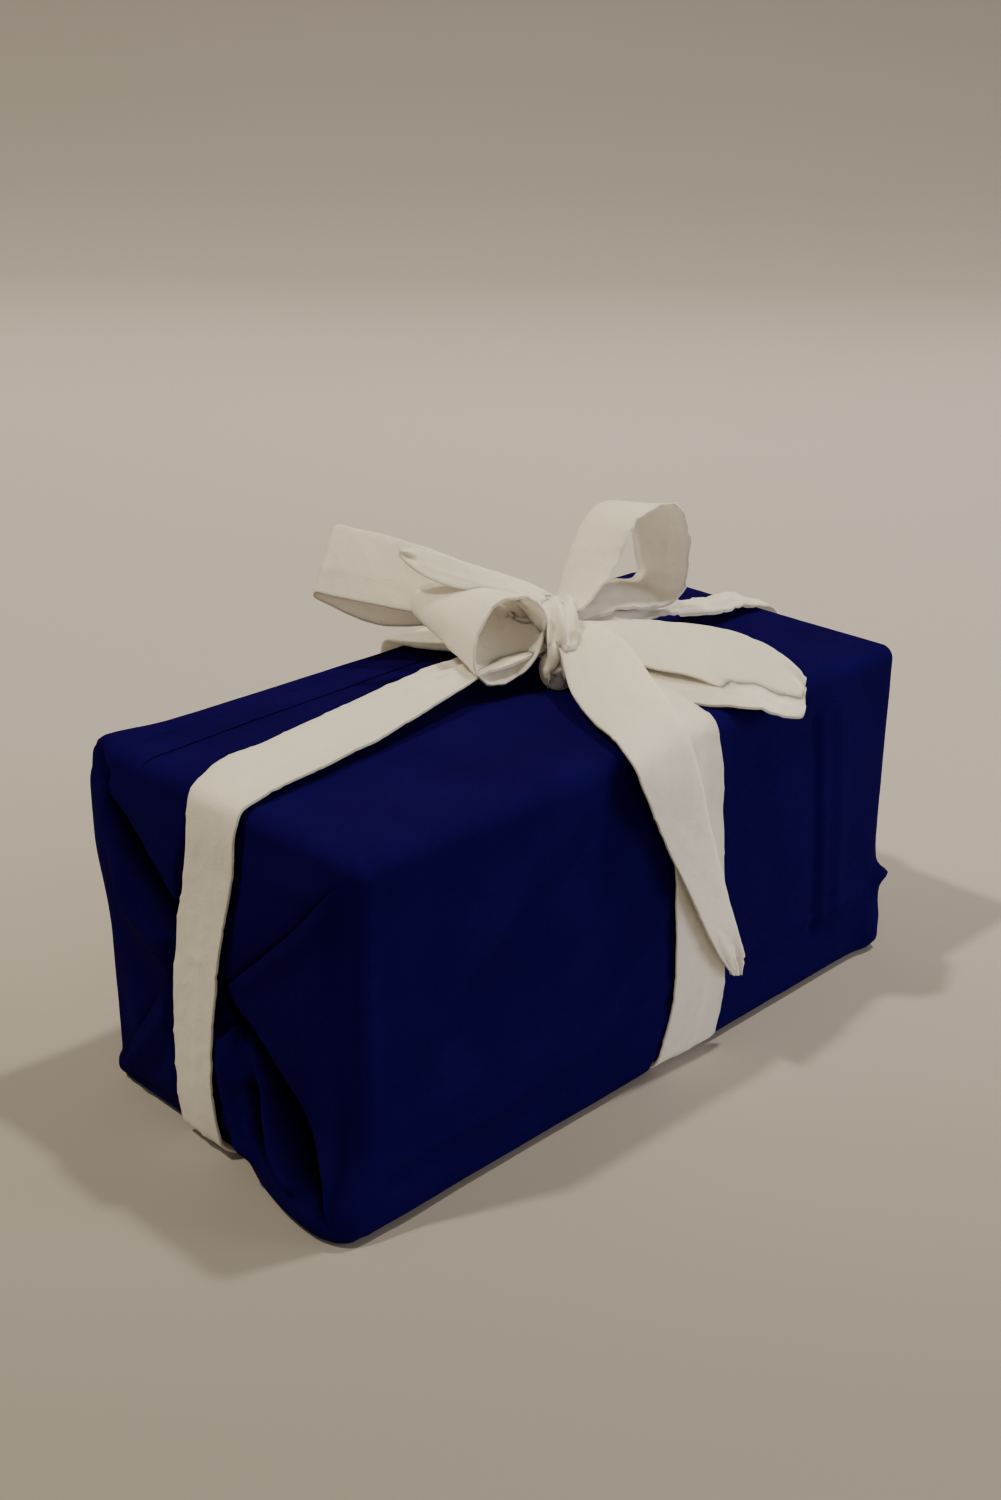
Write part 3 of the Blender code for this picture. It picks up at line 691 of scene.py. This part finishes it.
def ring_of(flap, sides, ring, ring_uvs):
    """The flap's part of the ring at its end, from its low side to its high one."""
    if flap.side == "top":
        under = np.flatnonzero((sides == "top") & (ring[:, 1] < free_edge(ring[0, 0]) - 0.5))
        over = np.flatnonzero((sides == "hem") | (sides == "behind"))
        chosen = np.concatenate((under, over))
    else:
        chosen = np.flatnonzero(sides == flap.side)
        if flap.side in ("back", "bottom"):
            chosen = chosen[::-1]
    return ring[chosen], ring_uvs[chosen]


# What makes a side of a flap the last column of its grid, and puts the grid back again.
SIDE_LAST = {
    "low": lambda grid: grid[:, ::-1],
    "high": lambda grid: grid,
    "tip": lambda grid: grid.transpose(1, 0, 2),
}


def flap_sheet(sheets, flap, sides, ring, ring_uvs):
    """One flap of an end, from the ring of the wound cloth to its tip."""
    sign = FACES[flap.end][0][0]
    edge, edge_uvs = ring_of(flap, sides, ring, ring_uvs)
    inner_y, low_z, high_z = DEPTH / 2 - EDGE_RADIUS, EDGE_RADIUS, HEIGHT - EDGE_RADIUS
    low_start, high_start = {
        "top": ((-inner_y, high_z), (inner_y, high_z)),
        "bottom": ((-inner_y, low_z), (inner_y, low_z)),
        "back": ((inner_y, low_z), (inner_y, high_z)),
        "front": ((-inner_y, low_z), (-inner_y, high_z)),
    }[flap.side]
    reach = max(math.dist(low_start, flap.low[-1]), math.dist(high_start, flap.high[-1]))
    count = int(round(reach / FLAP_STEP))
    low = edge_curve(low_start, flap.low, count + 1)
    high = edge_curve(high_start, flap.high, count + 1)
    axis = 1 if flap.side in ("top", "bottom") else 2
    share = ((edge[:, axis] - edge[0, axis]) / (edge[-1, axis] - edge[0, axis]))[:, None]
    first = low[0] * (1 - share) + high[0] * share
    # How far the wound cloth stands off the plain end where the flap starts.
    aside = edge[:, 1:] - first
    above = edge[:, 0] * sign - LENGTH / 2 - end_relief(edge[:, 1:], sign)
    grid, uvs = [edge], [edge_uvs]
    for k in range(1, count + 1):
        place = low[k] * (1 - share) + high[k] * share
        depth = np.linalg.norm(place - first, axis=1)
        fade = 1 - smooth(depth, 0.0, EDGE_FADE)
        height = end_relief(place, sign) + flap.stand * smooth(depth, 0.0, STAND_REACH)
        height += smooth(depth, 0.0, FOLD_REACH) * fold_relief(place, flap.folds) + above * fade
        place += aside * fade[:, None]
        grid.append(np.column_stack((sign * (LENGTH / 2 + height), place)))
        uvs.append(edge_uvs + (sign * depth.mean(), 0.0))
    grid, uvs = np.array(grid), np.array(uvs)
    for side, turned in SIDE_LAST.items():
        if side in flap.folded:
            grid, uvs = turn_under(turned(grid), turned(uvs), sign, flap.roll)
            grid, uvs = turned(grid), turned(uvs)
    # A place on the flap shows whether the grid's outside faces away from the parcel.
    row, column = 2, len(ROLL_ANGLES) + len(TURNED_BACK) + 1
    down, along = grid[row + 1, column], grid[row, column + 1]
    if np.cross(down - grid[row, column], along - grid[row, column])[0] * sign < 0:
        grid, uvs = grid[:, ::-1], uvs[:, ::-1]
    sheets.add(grid, uvs)


def turn_under(grid, uvs, sign, radius):
    """Adds columns that roll the last column of a flap round and back under it."""
    edge = grid[:, -1]
    out = edge - grid[:, -2]
    out[:, 0] = 0.0
    out /= np.maximum(np.linalg.norm(out, axis=1), 1e-6)[:, None]
    size = radius * smooth(travel(edge), 0.0, ROLL_REACH)[:, None]
    under = np.array((-float(sign), 0.0, 0.0))
    added = []
    for angle in np.radians(ROLL_ANGLES):
        added.append(edge + size * (out * math.sin(angle) + under * (1 - math.cos(angle))))
    for back, inward in TURNED_BACK:
        added.append(added[-1] - out * back * np.minimum(1.0, size) + under * inward)
    added_uvs = [uvs[:, -1] + (0.0, 0.8 * number) for number in range(1, len(added) + 1)]
    grid = np.concatenate((grid, np.stack(added, axis=1)), axis=1)
    return grid, np.concatenate((uvs, np.stack(added_uvs, axis=1)), axis=1)


def spread_belly(points):
    """The loose cloth of the left end's bottom flap spreads on the floor before the strap."""
    x, y, z = points.T
    before_strap = smooth(y, -2.0, -42.0) * (1.0 - smooth(-y, 45.0, 67.0))
    near_floor = 1.0 - smooth(z, 4.0, 34.0)
    points[:, 0] -= BELLY_SPREAD * before_strap * near_floor * smooth(-x, 104.0, 119.0)


def press(points, straps, deeper):
    """Moves cloth under a strap inward until the strap clears it; deeper is for lower layers."""
    for strap in straps:
        forward = np.cross(strap.sides, strap.normals)
        level = (strap.middles * forward).sum(axis=1)
        for start in range(0, len(points), PRESS_BATCH):
            part = points[start:start + PRESS_BATCH]
            index = np.arange(len(part))
            apart = np.linalg.norm(part[:, None] - strap.middles[None], axis=2)
            past = part @ forward.T - level
            # The two sections that the point lies between, and its share of the way.
            which = np.where(apart < STRAP_REACH, np.abs(past), np.inf).argmin(axis=1)
            other = (which + np.sign(past[index, which]).astype(int)) % len(level)
            step, rest = np.abs(past[index, which]), np.abs(past[index, other])
            share = (step / np.maximum(step + rest, 0.001))[:, None]
            middles, sides, normals = (
                (1 - share) * table[which] + share * table[other]
                for table in (strap.middles, strap.sides, strap.normals)
            )
            off = part - middles
            aside = np.abs((off * sides).sum(axis=1)) - strap.widths[which] / 2
            room = TAPE_THICKNESS / 2 + STRAP_GAP + deeper - PRESS_RAMP * smooth(aside, *PRESS_SIDE)
            over = np.maximum((off * normals).sum(axis=1) + room, 0.0)
            beside = (apart[index, which] < STRAP_REACH) & (aside < PRESS_SIDE[1])
            part -= normals * np.where(beside, over, 0.0)[:, None]


def build_cloth(straps):
    sheets = Sheets()
    sides, grid, uvs = wound_cloth(sheets)
    rings = {"left": (grid[0], uvs[0]), "right": (grid[-1], uvs[-1])}
    for flap in FLAPS:
        flap_sheet(sheets, flap, sides, *rings[flap.end])
    highest = max(flap.stand for flap in FLAPS)
    depths = [0.0] + [PRESS_DEEPER * (highest - flap.stand) for flap in FLAPS]
    for points, deeper in zip(sheets.points, depths):
        spread_belly(points)
        points[:, 2] = np.maximum(points[:, 2], FLOOR_GAP)
        press(points, straps, deeper)
    return sheets.make("wrap_cloth_sheet", 0.02, 60)


# -------- Tape


Strip = namedtuple("Strip", "middles sides normals widths travelled")


def strip_of(table, closed):
    """The strip's fine sections along a table of rows."""
    places, angles, widths = np.split(np.array(table, float), (3, 5), axis=1)
    turns, tilts = np.radians(angles).T
    sides = np.column_stack(
        (np.cos(tilts) * np.cos(turns), np.cos(tilts) * np.sin(turns), np.sin(tilts))
    )
    gaps = np.linalg.norm(np.roll(places, -1, axis=0) - places, axis=1)
    counts = np.maximum(2, np.ceil(gaps / TAPE_STEP)).astype(int)
    curve = hermite(np.hstack((places, sides, widths)), gaps, closed, counts)
    middles, sides, widths = curve[:, :3], curve[:, 3:6], curve[:, 6]
    sides /= np.linalg.norm(sides, axis=1)[:, None]
    if closed:
        forward = np.roll(middles, -1, axis=0) - np.roll(middles, 1, axis=0)
    else:
        forward = np.gradient(middles, axis=0)
    normals = np.cross(forward, sides)
    normals /= np.linalg.norm(normals, axis=1)[:, None]
    return Strip(middles, sides, normals, widths, travel(middles))


def tape_section(width):
    """(place across, height) round a folded strip: the fold is at the low side and the open
    edge, with a slot between its two layers, at the high side."""
    high, thick, slot = width / 2, TAPE_THICKNESS / 2, TAPE_SLOT / 2
    low = thick - high
    across = np.linspace(high, low, TAPE_POINTS)
    section = [(place, thick) for place in across]
    for angle in np.radians(TAPE_FOLD):
        section.append((low + thick * math.cos(angle), thick * math.sin(angle)))
    section += [(place, -thick) for place in across[::-1]]
    # The lower layer's edge reaches a little farther out than the upper one's.
    deep = high - min(0.5, 0.2 * width)
    section += [(high + 0.12, -thick * 0.6), (high + 0.1, -slot), (deep, -slot)]
    section += [(deep, slot), (high - 0.1, slot), (high - 0.06, thick * 0.6)]
    return np.array(section)


def gathers(travelled, share, gather, seed):
    """Lengthwise waves where the tape is gathered, and its soft unevenness everywhere."""
    phase = 0.9 * math.sin(travelled / 17.0 + seed)
    lift = GATHER_RISE * gather * np.cos(math.pi * (1.7 * share + phase))
    lift += 0.5 * GATHER_RISE * gather * np.sin(math.pi * (2.9 * share - phase + seed))
    twist = 0.42 * drift(travelled / 15.0, seed * 3.1, 0.0) * share
    bulge = 0.3 * drift(travelled / 6.0, seed * 7.7, 4.0) * np.cos(2.2 * share)
    return lift + (twist + bulge) * (1 + 1.2 * gather)


def creases(travelled, across, seed):
    """Thin slanting creases along the zero lines of a stretched noise."""
    lifts = []
    for place in across:
        along = (travelled + 0.8 * place) / 9.0
        value = drift(along, (place - 0.3 * travelled) / 16.0, seed * 6.1)
        lifts.append(CREASE_RISE * max(0.0, 1.0 - abs(value) / 0.09))
    return np.array(lifts)


def seam_ridge(share):
    """The seam's ridge beside the tape's middle, and the higher part from it to the fold."""
    return np.exp(-(((share - 0.2) / 0.09) ** 2)) + 0.4 * smooth(share, 0.28, 0.12)


def lengthwise_crease(middle, normal, share):
    """The strap right of the knot is creased along its middle, its near half turned down."""
    x, _, z = middle
    if z < HEIGHT + 1.5 or normal[2] < 0.5:
        return 0.0
    along = float(smooth(x, 20.0, 34.0) * (1 - smooth(x, 98.0, 112.0)))
    drop = min(2.0, z - HEIGHT - 2.3) * along
    return drop * (0.15 - np.maximum(0.0, share + 0.05) ** 1.15)


def add_tape(sheets, strip, closed, seed, full=TAPE_FULL_WIDTH, scallop=0.0, seam=SEAM_RISE):
    """One run of the folded tape with its seam, gathers where it is narrower than full, creases,
    and slightly wavy edges; scallop waves the open edge more."""
    rings, uvs = [], []
    for middle, side, normal, width, travelled in zip(*strip):
        section = tape_section(width)
        across, height = section.T
        share = across / (width / 2)
        gather = float(smooth(full / width - 1.0, 0.12, 0.9))
        lift = gathers(travelled, share, gather, seed)
        lift += creases(travelled, across, seed) * (1.0 + 1.5 * gather)
        lift += np.where(height > 0, seam * seam_ridge(share) * (1 - 0.7 * gather), 0.0)
        lift += lengthwise_crease(middle, normal, share)
        open_wave = 0.3 * drift(travelled / 9.0, seed * 2.3, 9.0)
        fold_wave = 0.3 * drift(travelled / 8.0, seed * 4.9, 2.0)
        if scallop:
            ragged = drift(travelled / 4.2, seed * 5.3, 1.0)
            teeth = abs(math.sin(travelled / 4.4 + 2.0 * ragged))
            open_wave += scallop * (1.6 * teeth - 0.8 + ragged)
            curl = math.sin(travelled / 3.4 + 3.0 * ragged)
            lift += scallop * curl * smooth(share, 0.6, 1.0)
        out = across + np.where(share > 0, open_wave, fold_wave) * np.abs(share) ** 3
        rings.append(middle + out[:, None] * side + (height + lift)[:, None] * normal)
        uvs.append(np.column_stack((np.full(len(section), travelled), across)))
    rings, uvs = np.array(rings), np.array(uvs)
    if closed:
        rings = np.concatenate((rings, rings[:1]))
        uvs = np.concatenate((uvs, uvs[-1:] + (TAPE_STEP, 0.0)))
    index = sheets.add(rings, uvs, closed=True)
    if not closed:
        cap_section(sheets, index[0, :-1])
        cap_section(sheets, index[-1, :-1])


def cap_section(sheets, ring):
    """Closes a tape end with quads between its upper and lower layers."""
    lower = TAPE_POINTS + len(TAPE_FOLD)
    top, bottom = ring[:TAPE_POINTS], ring[lower:lower + TAPE_POINTS][::-1]
    for k in range(TAPE_POINTS - 1):
        sheets.faces.append([int(top[k]), int(top[k + 1]), int(bottom[k + 1]), int(bottom[k])])


def knot_lump(sheets, lump):
    """One gathered lump of the knot: an egg with lengthwise folds."""
    lats = np.linspace(-88, 88, LUMP_RINGS)[:, None]
    lons = np.linspace(0, 360, LUMP_POINTS, endpoint=False)[None]
    a, b, turn = np.radians(lats), np.radians(lons), math.radians(KNOT_TURN)
    fold = 1.0 + 0.07 * np.sin(5 * b + 1.5 * np.sin(2 * a)) + 0.03 * np.sin(11 * b)
    blunt = 1.0 - 0.12 * np.abs(np.sin(a)) ** 3
    x = lump.radii[0] * blunt * np.sin(a)
    y = lump.radii[1] * blunt * np.cos(a) * np.cos(b) * fold
    z = lump.radii[2] * blunt * np.cos(a) * np.sin(b) * fold
    east = x * math.cos(turn) - y * math.sin(turn)
    north = x * math.sin(turn) + y * math.cos(turn)
    points = np.stack((east, north, z), axis=-1) + lump.middle
    uvs = np.stack(np.broadcast_arrays(lats * 0.2, lons * 0.15), axis=-1)
    sheets.add(points, uvs, closed=True)


def build_tape(straps):
    sheets = Sheets()
    for number, strap in enumerate(straps):
        add_tape(sheets, strap, True, number + 1)
    add_tape(sheets, strip_of(KNOT_BAND, True), True, 5, full=20.0, seam=0.0)
    for number, run in enumerate(BOW):
        add_tape(sheets, strip_of(run.table, False), False, number + 7, run.full, run.scallop)
    for lump in KNOT_LUMPS:
        knot_lump(sheets, lump)
    return sheets.make("tie_tape_cloth", 0.0, 50)


# -------- Materials


class Nodes:
    """Short way to build a material's nodes."""

    def __init__(self, name):
        self.material = bpy.data.materials.new(name)
        self.material.use_nodes = True
        self.tree = self.material.node_tree
        self.shader = self.tree.nodes["Principled BSDF"]

    def add(self, kind, inputs=None, **settings):
        node = self.tree.nodes.new(kind)
        for key, value in settings.items():
            setattr(node, key, value)
        for key, value in (inputs or {}).items():
            self.put(node, key, value)
        return node

    def put(self, node, key, value):
        if isinstance(value, bpy.types.NodeSocket):
            self.tree.links.new(value, node.inputs[key])
        else:
            node.inputs[key].default_value = value

    def maths(self, operation, *values):
        node = self.add("ShaderNodeMath", operation=operation)
        for key, value in enumerate(values):
            self.put(node, key, value)
        return node.outputs[0]

    def noise(self, vector, scale, detail):
        inputs = {"Vector": vector, "Scale": scale, "Detail": detail}
        return self.add("ShaderNodeTexNoise", inputs).outputs["Fac"]

    def spread(self, value, low, high, to_low=0.0, to_high=1.0):
        """The value taken from low and high to to_low and to_high, and held there."""
        inputs = {"Value": value, "From Min": low, "From Max": high}
        inputs.update({"To Min": to_low, "To Max": to_high})
        return self.add("ShaderNodeMapRange", inputs).outputs[0]

    def bump(self, height, strength, distance, **normal):
        inputs = {"Strength": strength, "Distance": distance, "Height": height, **normal}
        return self.add("ShaderNodeBump", inputs).outputs[0]

    def mix(self, factor, first, second, blend="MIX"):
        """A mix of two colours. They are sockets 6 and 7 of the node, and its result is 2."""
        inputs = {0: factor, 6: first, 7: second}
        return self.add("ShaderNodeMix", inputs, data_type="RGBA", blend_type=blend).outputs[2]


# A plain-weave cotton: the limits of its colour, the pitch of its threads and the depth of its
# weave in metres, and its share of sheen. Then come the power of the painted shade that darkens its
# colour inside narrow folds, and its share of light that passes through it; 0 leaves either out.
Cotton = namedtuple("Cotton", "name dark light thread depth rough sheen specular crevice through")
NAVY = Cotton(
    name="navy_cotton", dark=(0.0036, 0.0, 0.058), light=(0.0053, 0.0, 0.080), thread=0.00042,
    depth=0.00009, rough=0.86, sheen=0.0, specular=0.02, crevice=1.9, through=0.0,
)
WHITE = Cotton(
    name="white_cotton", dark=(0.80, 0.765, 0.69), light=(0.86, 0.825, 0.75), thread=0.00050,
    depth=0.00008, rough=0.85, sheen=0.10, specular=0.15, crevice=0.0, through=0.85,
)
GRAIN_DEPTH = 0.0004
# Painted shade in narrow folds: how far its occlusion test reaches in metres, and the near black
# that the colour darkens to.
PAINTED_SHADE_REACH = 0.022
PAINTED_SHADE_COLOUR = (0.0, 0.0, 0.0005)
FLOOR_DARK = (0.86, 0.83, 0.85)
FLOOR_LIGHT = (0.90, 0.87, 0.89)
# Painted light falloff on the floor: its tone along the camera's heading, darker towards the camera
# and up the backdrop. 0 is a metre before the parcel, 0.25 the parcel, and 1 is three metres behind
# it, along the floor and up the backdrop.
PAINTED_FLOOR_FALLOFF = (
    (0.0, 0.26), (0.2, 0.31), (0.24, 0.42), (0.28, 0.57), (0.38, 0.66), (0.48, 0.95), (0.58, 0.97),
    (0.72, 0.60), (1.0, 0.36),
)


def woven(cotton):
    made = Nodes(cotton.name)
    coordinates = made.add("ShaderNodeTexCoord")
    uv, place = coordinates.outputs["UV"], coordinates.outputs["Object"]
    split = made.add("ShaderNodeSeparateXYZ", {0: uv})
    turns = 2 * math.pi / cotton.thread
    waves = [
        made.maths("SINE", made.maths("MULTIPLY", split.outputs[axis], turns)) for axis in (0, 1)
    ]
    weave = made.maths("MULTIPLY", *waves)
    ribs = made.add("ShaderNodeMapping", {"Vector": uv, "Scale": (3.0, 60.0, 1.0)}).outputs[0]
    slub = made.noise(ribs, 60.0, 2.0)
    cloud = made.noise(place, 38.0, 3.0)
    grain = made.noise(place, 900.0, 2.0)
    tone = made.maths("ADD", made.maths("MULTIPLY", cloud, 0.6), made.maths("MULTIPLY", slub, 0.4))
    colour = made.mix(made.spread(tone, 0.35, 0.65), (*cotton.dark, 1.0), (*cotton.light, 1.0))
    fine = made.maths("ADD", weave, made.maths("MULTIPLY", slub, 0.8))
    threads = made.bump(fine, 0.5, cotton.depth)
    # Painted shade: where the cloth's own folds hide a point from the room, its colour darkens
    # towards near black.
    if cotton.crevice:
        inside = made.add("ShaderNodeAmbientOcclusion", {"Distance": PAINTED_SHADE_REACH})
        inside.samples = 6
        inside.only_local = True
        openness = made.spread(inside.outputs["AO"], 0.50, 0.90)
        openness = made.maths("POWER", openness, cotton.crevice)
        colour = made.mix(openness, (*PAINTED_SHADE_COLOUR, 1.0), colour)
    values = {
        "Base Color": colour,
        "Roughness": made.spread(grain, 0.3, 0.7, cotton.rough - 0.06, cotton.rough + 0.06),
        "Normal": made.bump(grain, 0.35, GRAIN_DEPTH, Normal=threads),
        "Sheen Weight": cotton.sheen,
        "Sheen Roughness": 0.4,
        "Sheen Tint": (1.0, 0.97, 0.92, 1.0),
        "Specular IOR Level": cotton.specular,
        "Subsurface Weight": cotton.through,
        "Subsurface Radius": (1.0, 0.95, 0.88),
        "Subsurface Scale": 0.004,
    }
    for key, value in values.items():
        made.put(made.shader, key, value)
    return made.material


def floor_paint_and_falloff():
    """Matt grey paint with painted light falloff, lightest about a metre behind the parcel."""
    made = Nodes("studio_floor")
    place = made.add("ShaderNodeTexCoord").outputs["Object"]
    split = made.add("ShaderNodeSeparateXYZ", {0: place})
    run = made.maths("ADD", split.outputs[1], split.outputs[2])
    # Painted light falloff: the ramp below darkens the paint along the camera's heading.
    tone = made.add("ShaderNodeValToRGB", {"Fac": made.maths("MULTIPLY_ADD", run, 0.25, 0.25)})
    tone.color_ramp.interpolation = "B_SPLINE"
    stops = tone.color_ramp.elements
    for index, (position, value) in enumerate(PAINTED_FLOOR_FALLOFF):
        stop = stops[index] if index < 2 else stops.new(position)
        stop.position = position
        stop.color = (value, value, value, 1.0)
    colour = made.mix(made.noise(place, 2.2, 2.0), (*FLOOR_DARK, 1.0), (*FLOOR_LIGHT, 1.0))
    made.put(made.shader, "Base Color", made.mix(1.0, colour, tone.outputs[0], "MULTIPLY"))
    made.put(made.shader, "Roughness", 0.75)
    made.put(made.shader, "Specular IOR Level", 0.2)
    return made.material


# -------- Studio


# In metres, degrees, and mm for the lens and its sensor.
CAMERA_PLACE = (-0.3981, -0.3819, 0.3285)
CAMERA_AZIMUTH = 45.47
CAMERA_PITCH = -23.02
CAMERA_ROLL = 0.60
CAMERA_LENS = 45.5
CAMERA_SENSOR = 36.0
# The studio floor in metres along the camera's heading: half its breadth, its flat rows, where it
# curves up, the curve's radius and the backdrop's top.
FLOOR_SIDE = 7.0
FLOOR_FLAT = (-7.0, -3.0)
FLOOR_CURVE = 1.5
FLOOR_RADIUS = 0.9
FLOOR_TOP = 2.2

# Round area lights that look at one place, with their diameter in metres and power in watts.
Light = namedtuple("Light", "name place size power colour")
LIGHT_TARGET = (0.0, 0.0, 0.08)
LIGHTS = (
    Light("spot_right", (0.287, -0.206, 1.285), 0.07, 8.8, (1.0, 0.87, 0.62)),
    Light("spot_left", (-1.487, 0.505, 2.875), 0.16, 62.0, (1.0, 0.86, 0.60)),
    Light("front_fill", (1.2, -1.7, 0.5), 1.2, 20.0, (1.0, 0.93, 0.92)),
    Light("camera_fill", (-0.9, -1.5, 0.9), 0.9, 4.5, (1.0, 0.84, 0.60)),
)
WORLD_COLOUR = (1.0, 0.82, 0.60)
WORLD_STRENGTH = 0.26


def add_camera():
    data = bpy.data.cameras.new("photo_camera")
    data.sensor_width = CAMERA_SENSOR
    data.lens = CAMERA_LENS
    camera = new_object("photo_camera", data)
    camera.rotation_mode = "XYZ"
    look = Matrix.Rotation(math.radians(-CAMERA_AZIMUTH), 4, "Z")
    pitch = Matrix.Rotation(math.radians(90 + CAMERA_PITCH), 4, "X")
    roll = Matrix.Rotation(math.radians(CAMERA_ROLL), 4, "Z")
    camera.matrix_world = Matrix.Translation(CAMERA_PLACE) @ look @ pitch @ roll
    bpy.context.scene.camera = camera


def add_floor():
    """A floor that curves up into a backdrop behind the parcel, seen from the camera."""
    profile = [(run, 0.0) for run in (*FLOOR_FLAT, FLOOR_CURVE)]
    profile += [
        (FLOOR_CURVE + FLOOR_RADIUS * math.sin(angle), FLOOR_RADIUS * (1 - math.cos(angle)))
        for angle in np.radians(np.arange(7.5, 90.1, 7.5))
    ]
    profile.append((FLOOR_CURVE + FLOOR_RADIUS, FLOOR_TOP))
    points = [(side, run, up) for side in (-FLOOR_SIDE, FLOOR_SIDE) for run, up in profile]
    count = len(profile)
    faces = [(k, count + k, count + k + 1, k + 1) for k in range(count - 1)]
    data = bpy.data.meshes.new("studio_floor")
    data.from_pydata(points, [], faces)
    data.polygons.foreach_set("use_smooth", [True] * len(data.polygons))
    floor = new_object("studio_floor", data)
    floor.rotation_euler = (0.0, 0.0, math.radians(-CAMERA_AZIMUTH))
    floor.data.materials.append(floor_paint_and_falloff())


def add_light(light):
    data = bpy.data.lights.new(light.name, "AREA")
    data.shape = "DISK"
    data.size = light.size
    data.energy = light.power
    data.color = light.colour
    made = new_object(light.name, data)
    made.location = light.place
    made.rotation_mode = "QUATERNION"
    direction = Vector(LIGHT_TARGET) - Vector(light.place)
    made.rotation_quaternion = direction.to_track_quat("-Z", "Y")


def add_world():
    world = bpy.data.worlds.new("studio")
    world.use_nodes = True
    background = world.node_tree.nodes["Background"]
    background.inputs["Color"].default_value = (*WORLD_COLOUR, 1.0)
    background.inputs["Strength"].default_value = WORLD_STRENGTH
    bpy.context.scene.world = world


# -------- Assembly

add_camera()
add_floor()
for light in LIGHTS:
    add_light(light)
add_world()

straps = (strip_of(LENGTHWISE, True), strip_of(CROSSWISE, True))

cloth = build_cloth(straps)
cloth.data.materials.append(woven(NAVY))
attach(cloth, "root")
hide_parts("wrap_cloth")

tape = build_tape(straps)
tape.data.materials.append(woven(WHITE))
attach(tape, "root")
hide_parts("tie_tape")
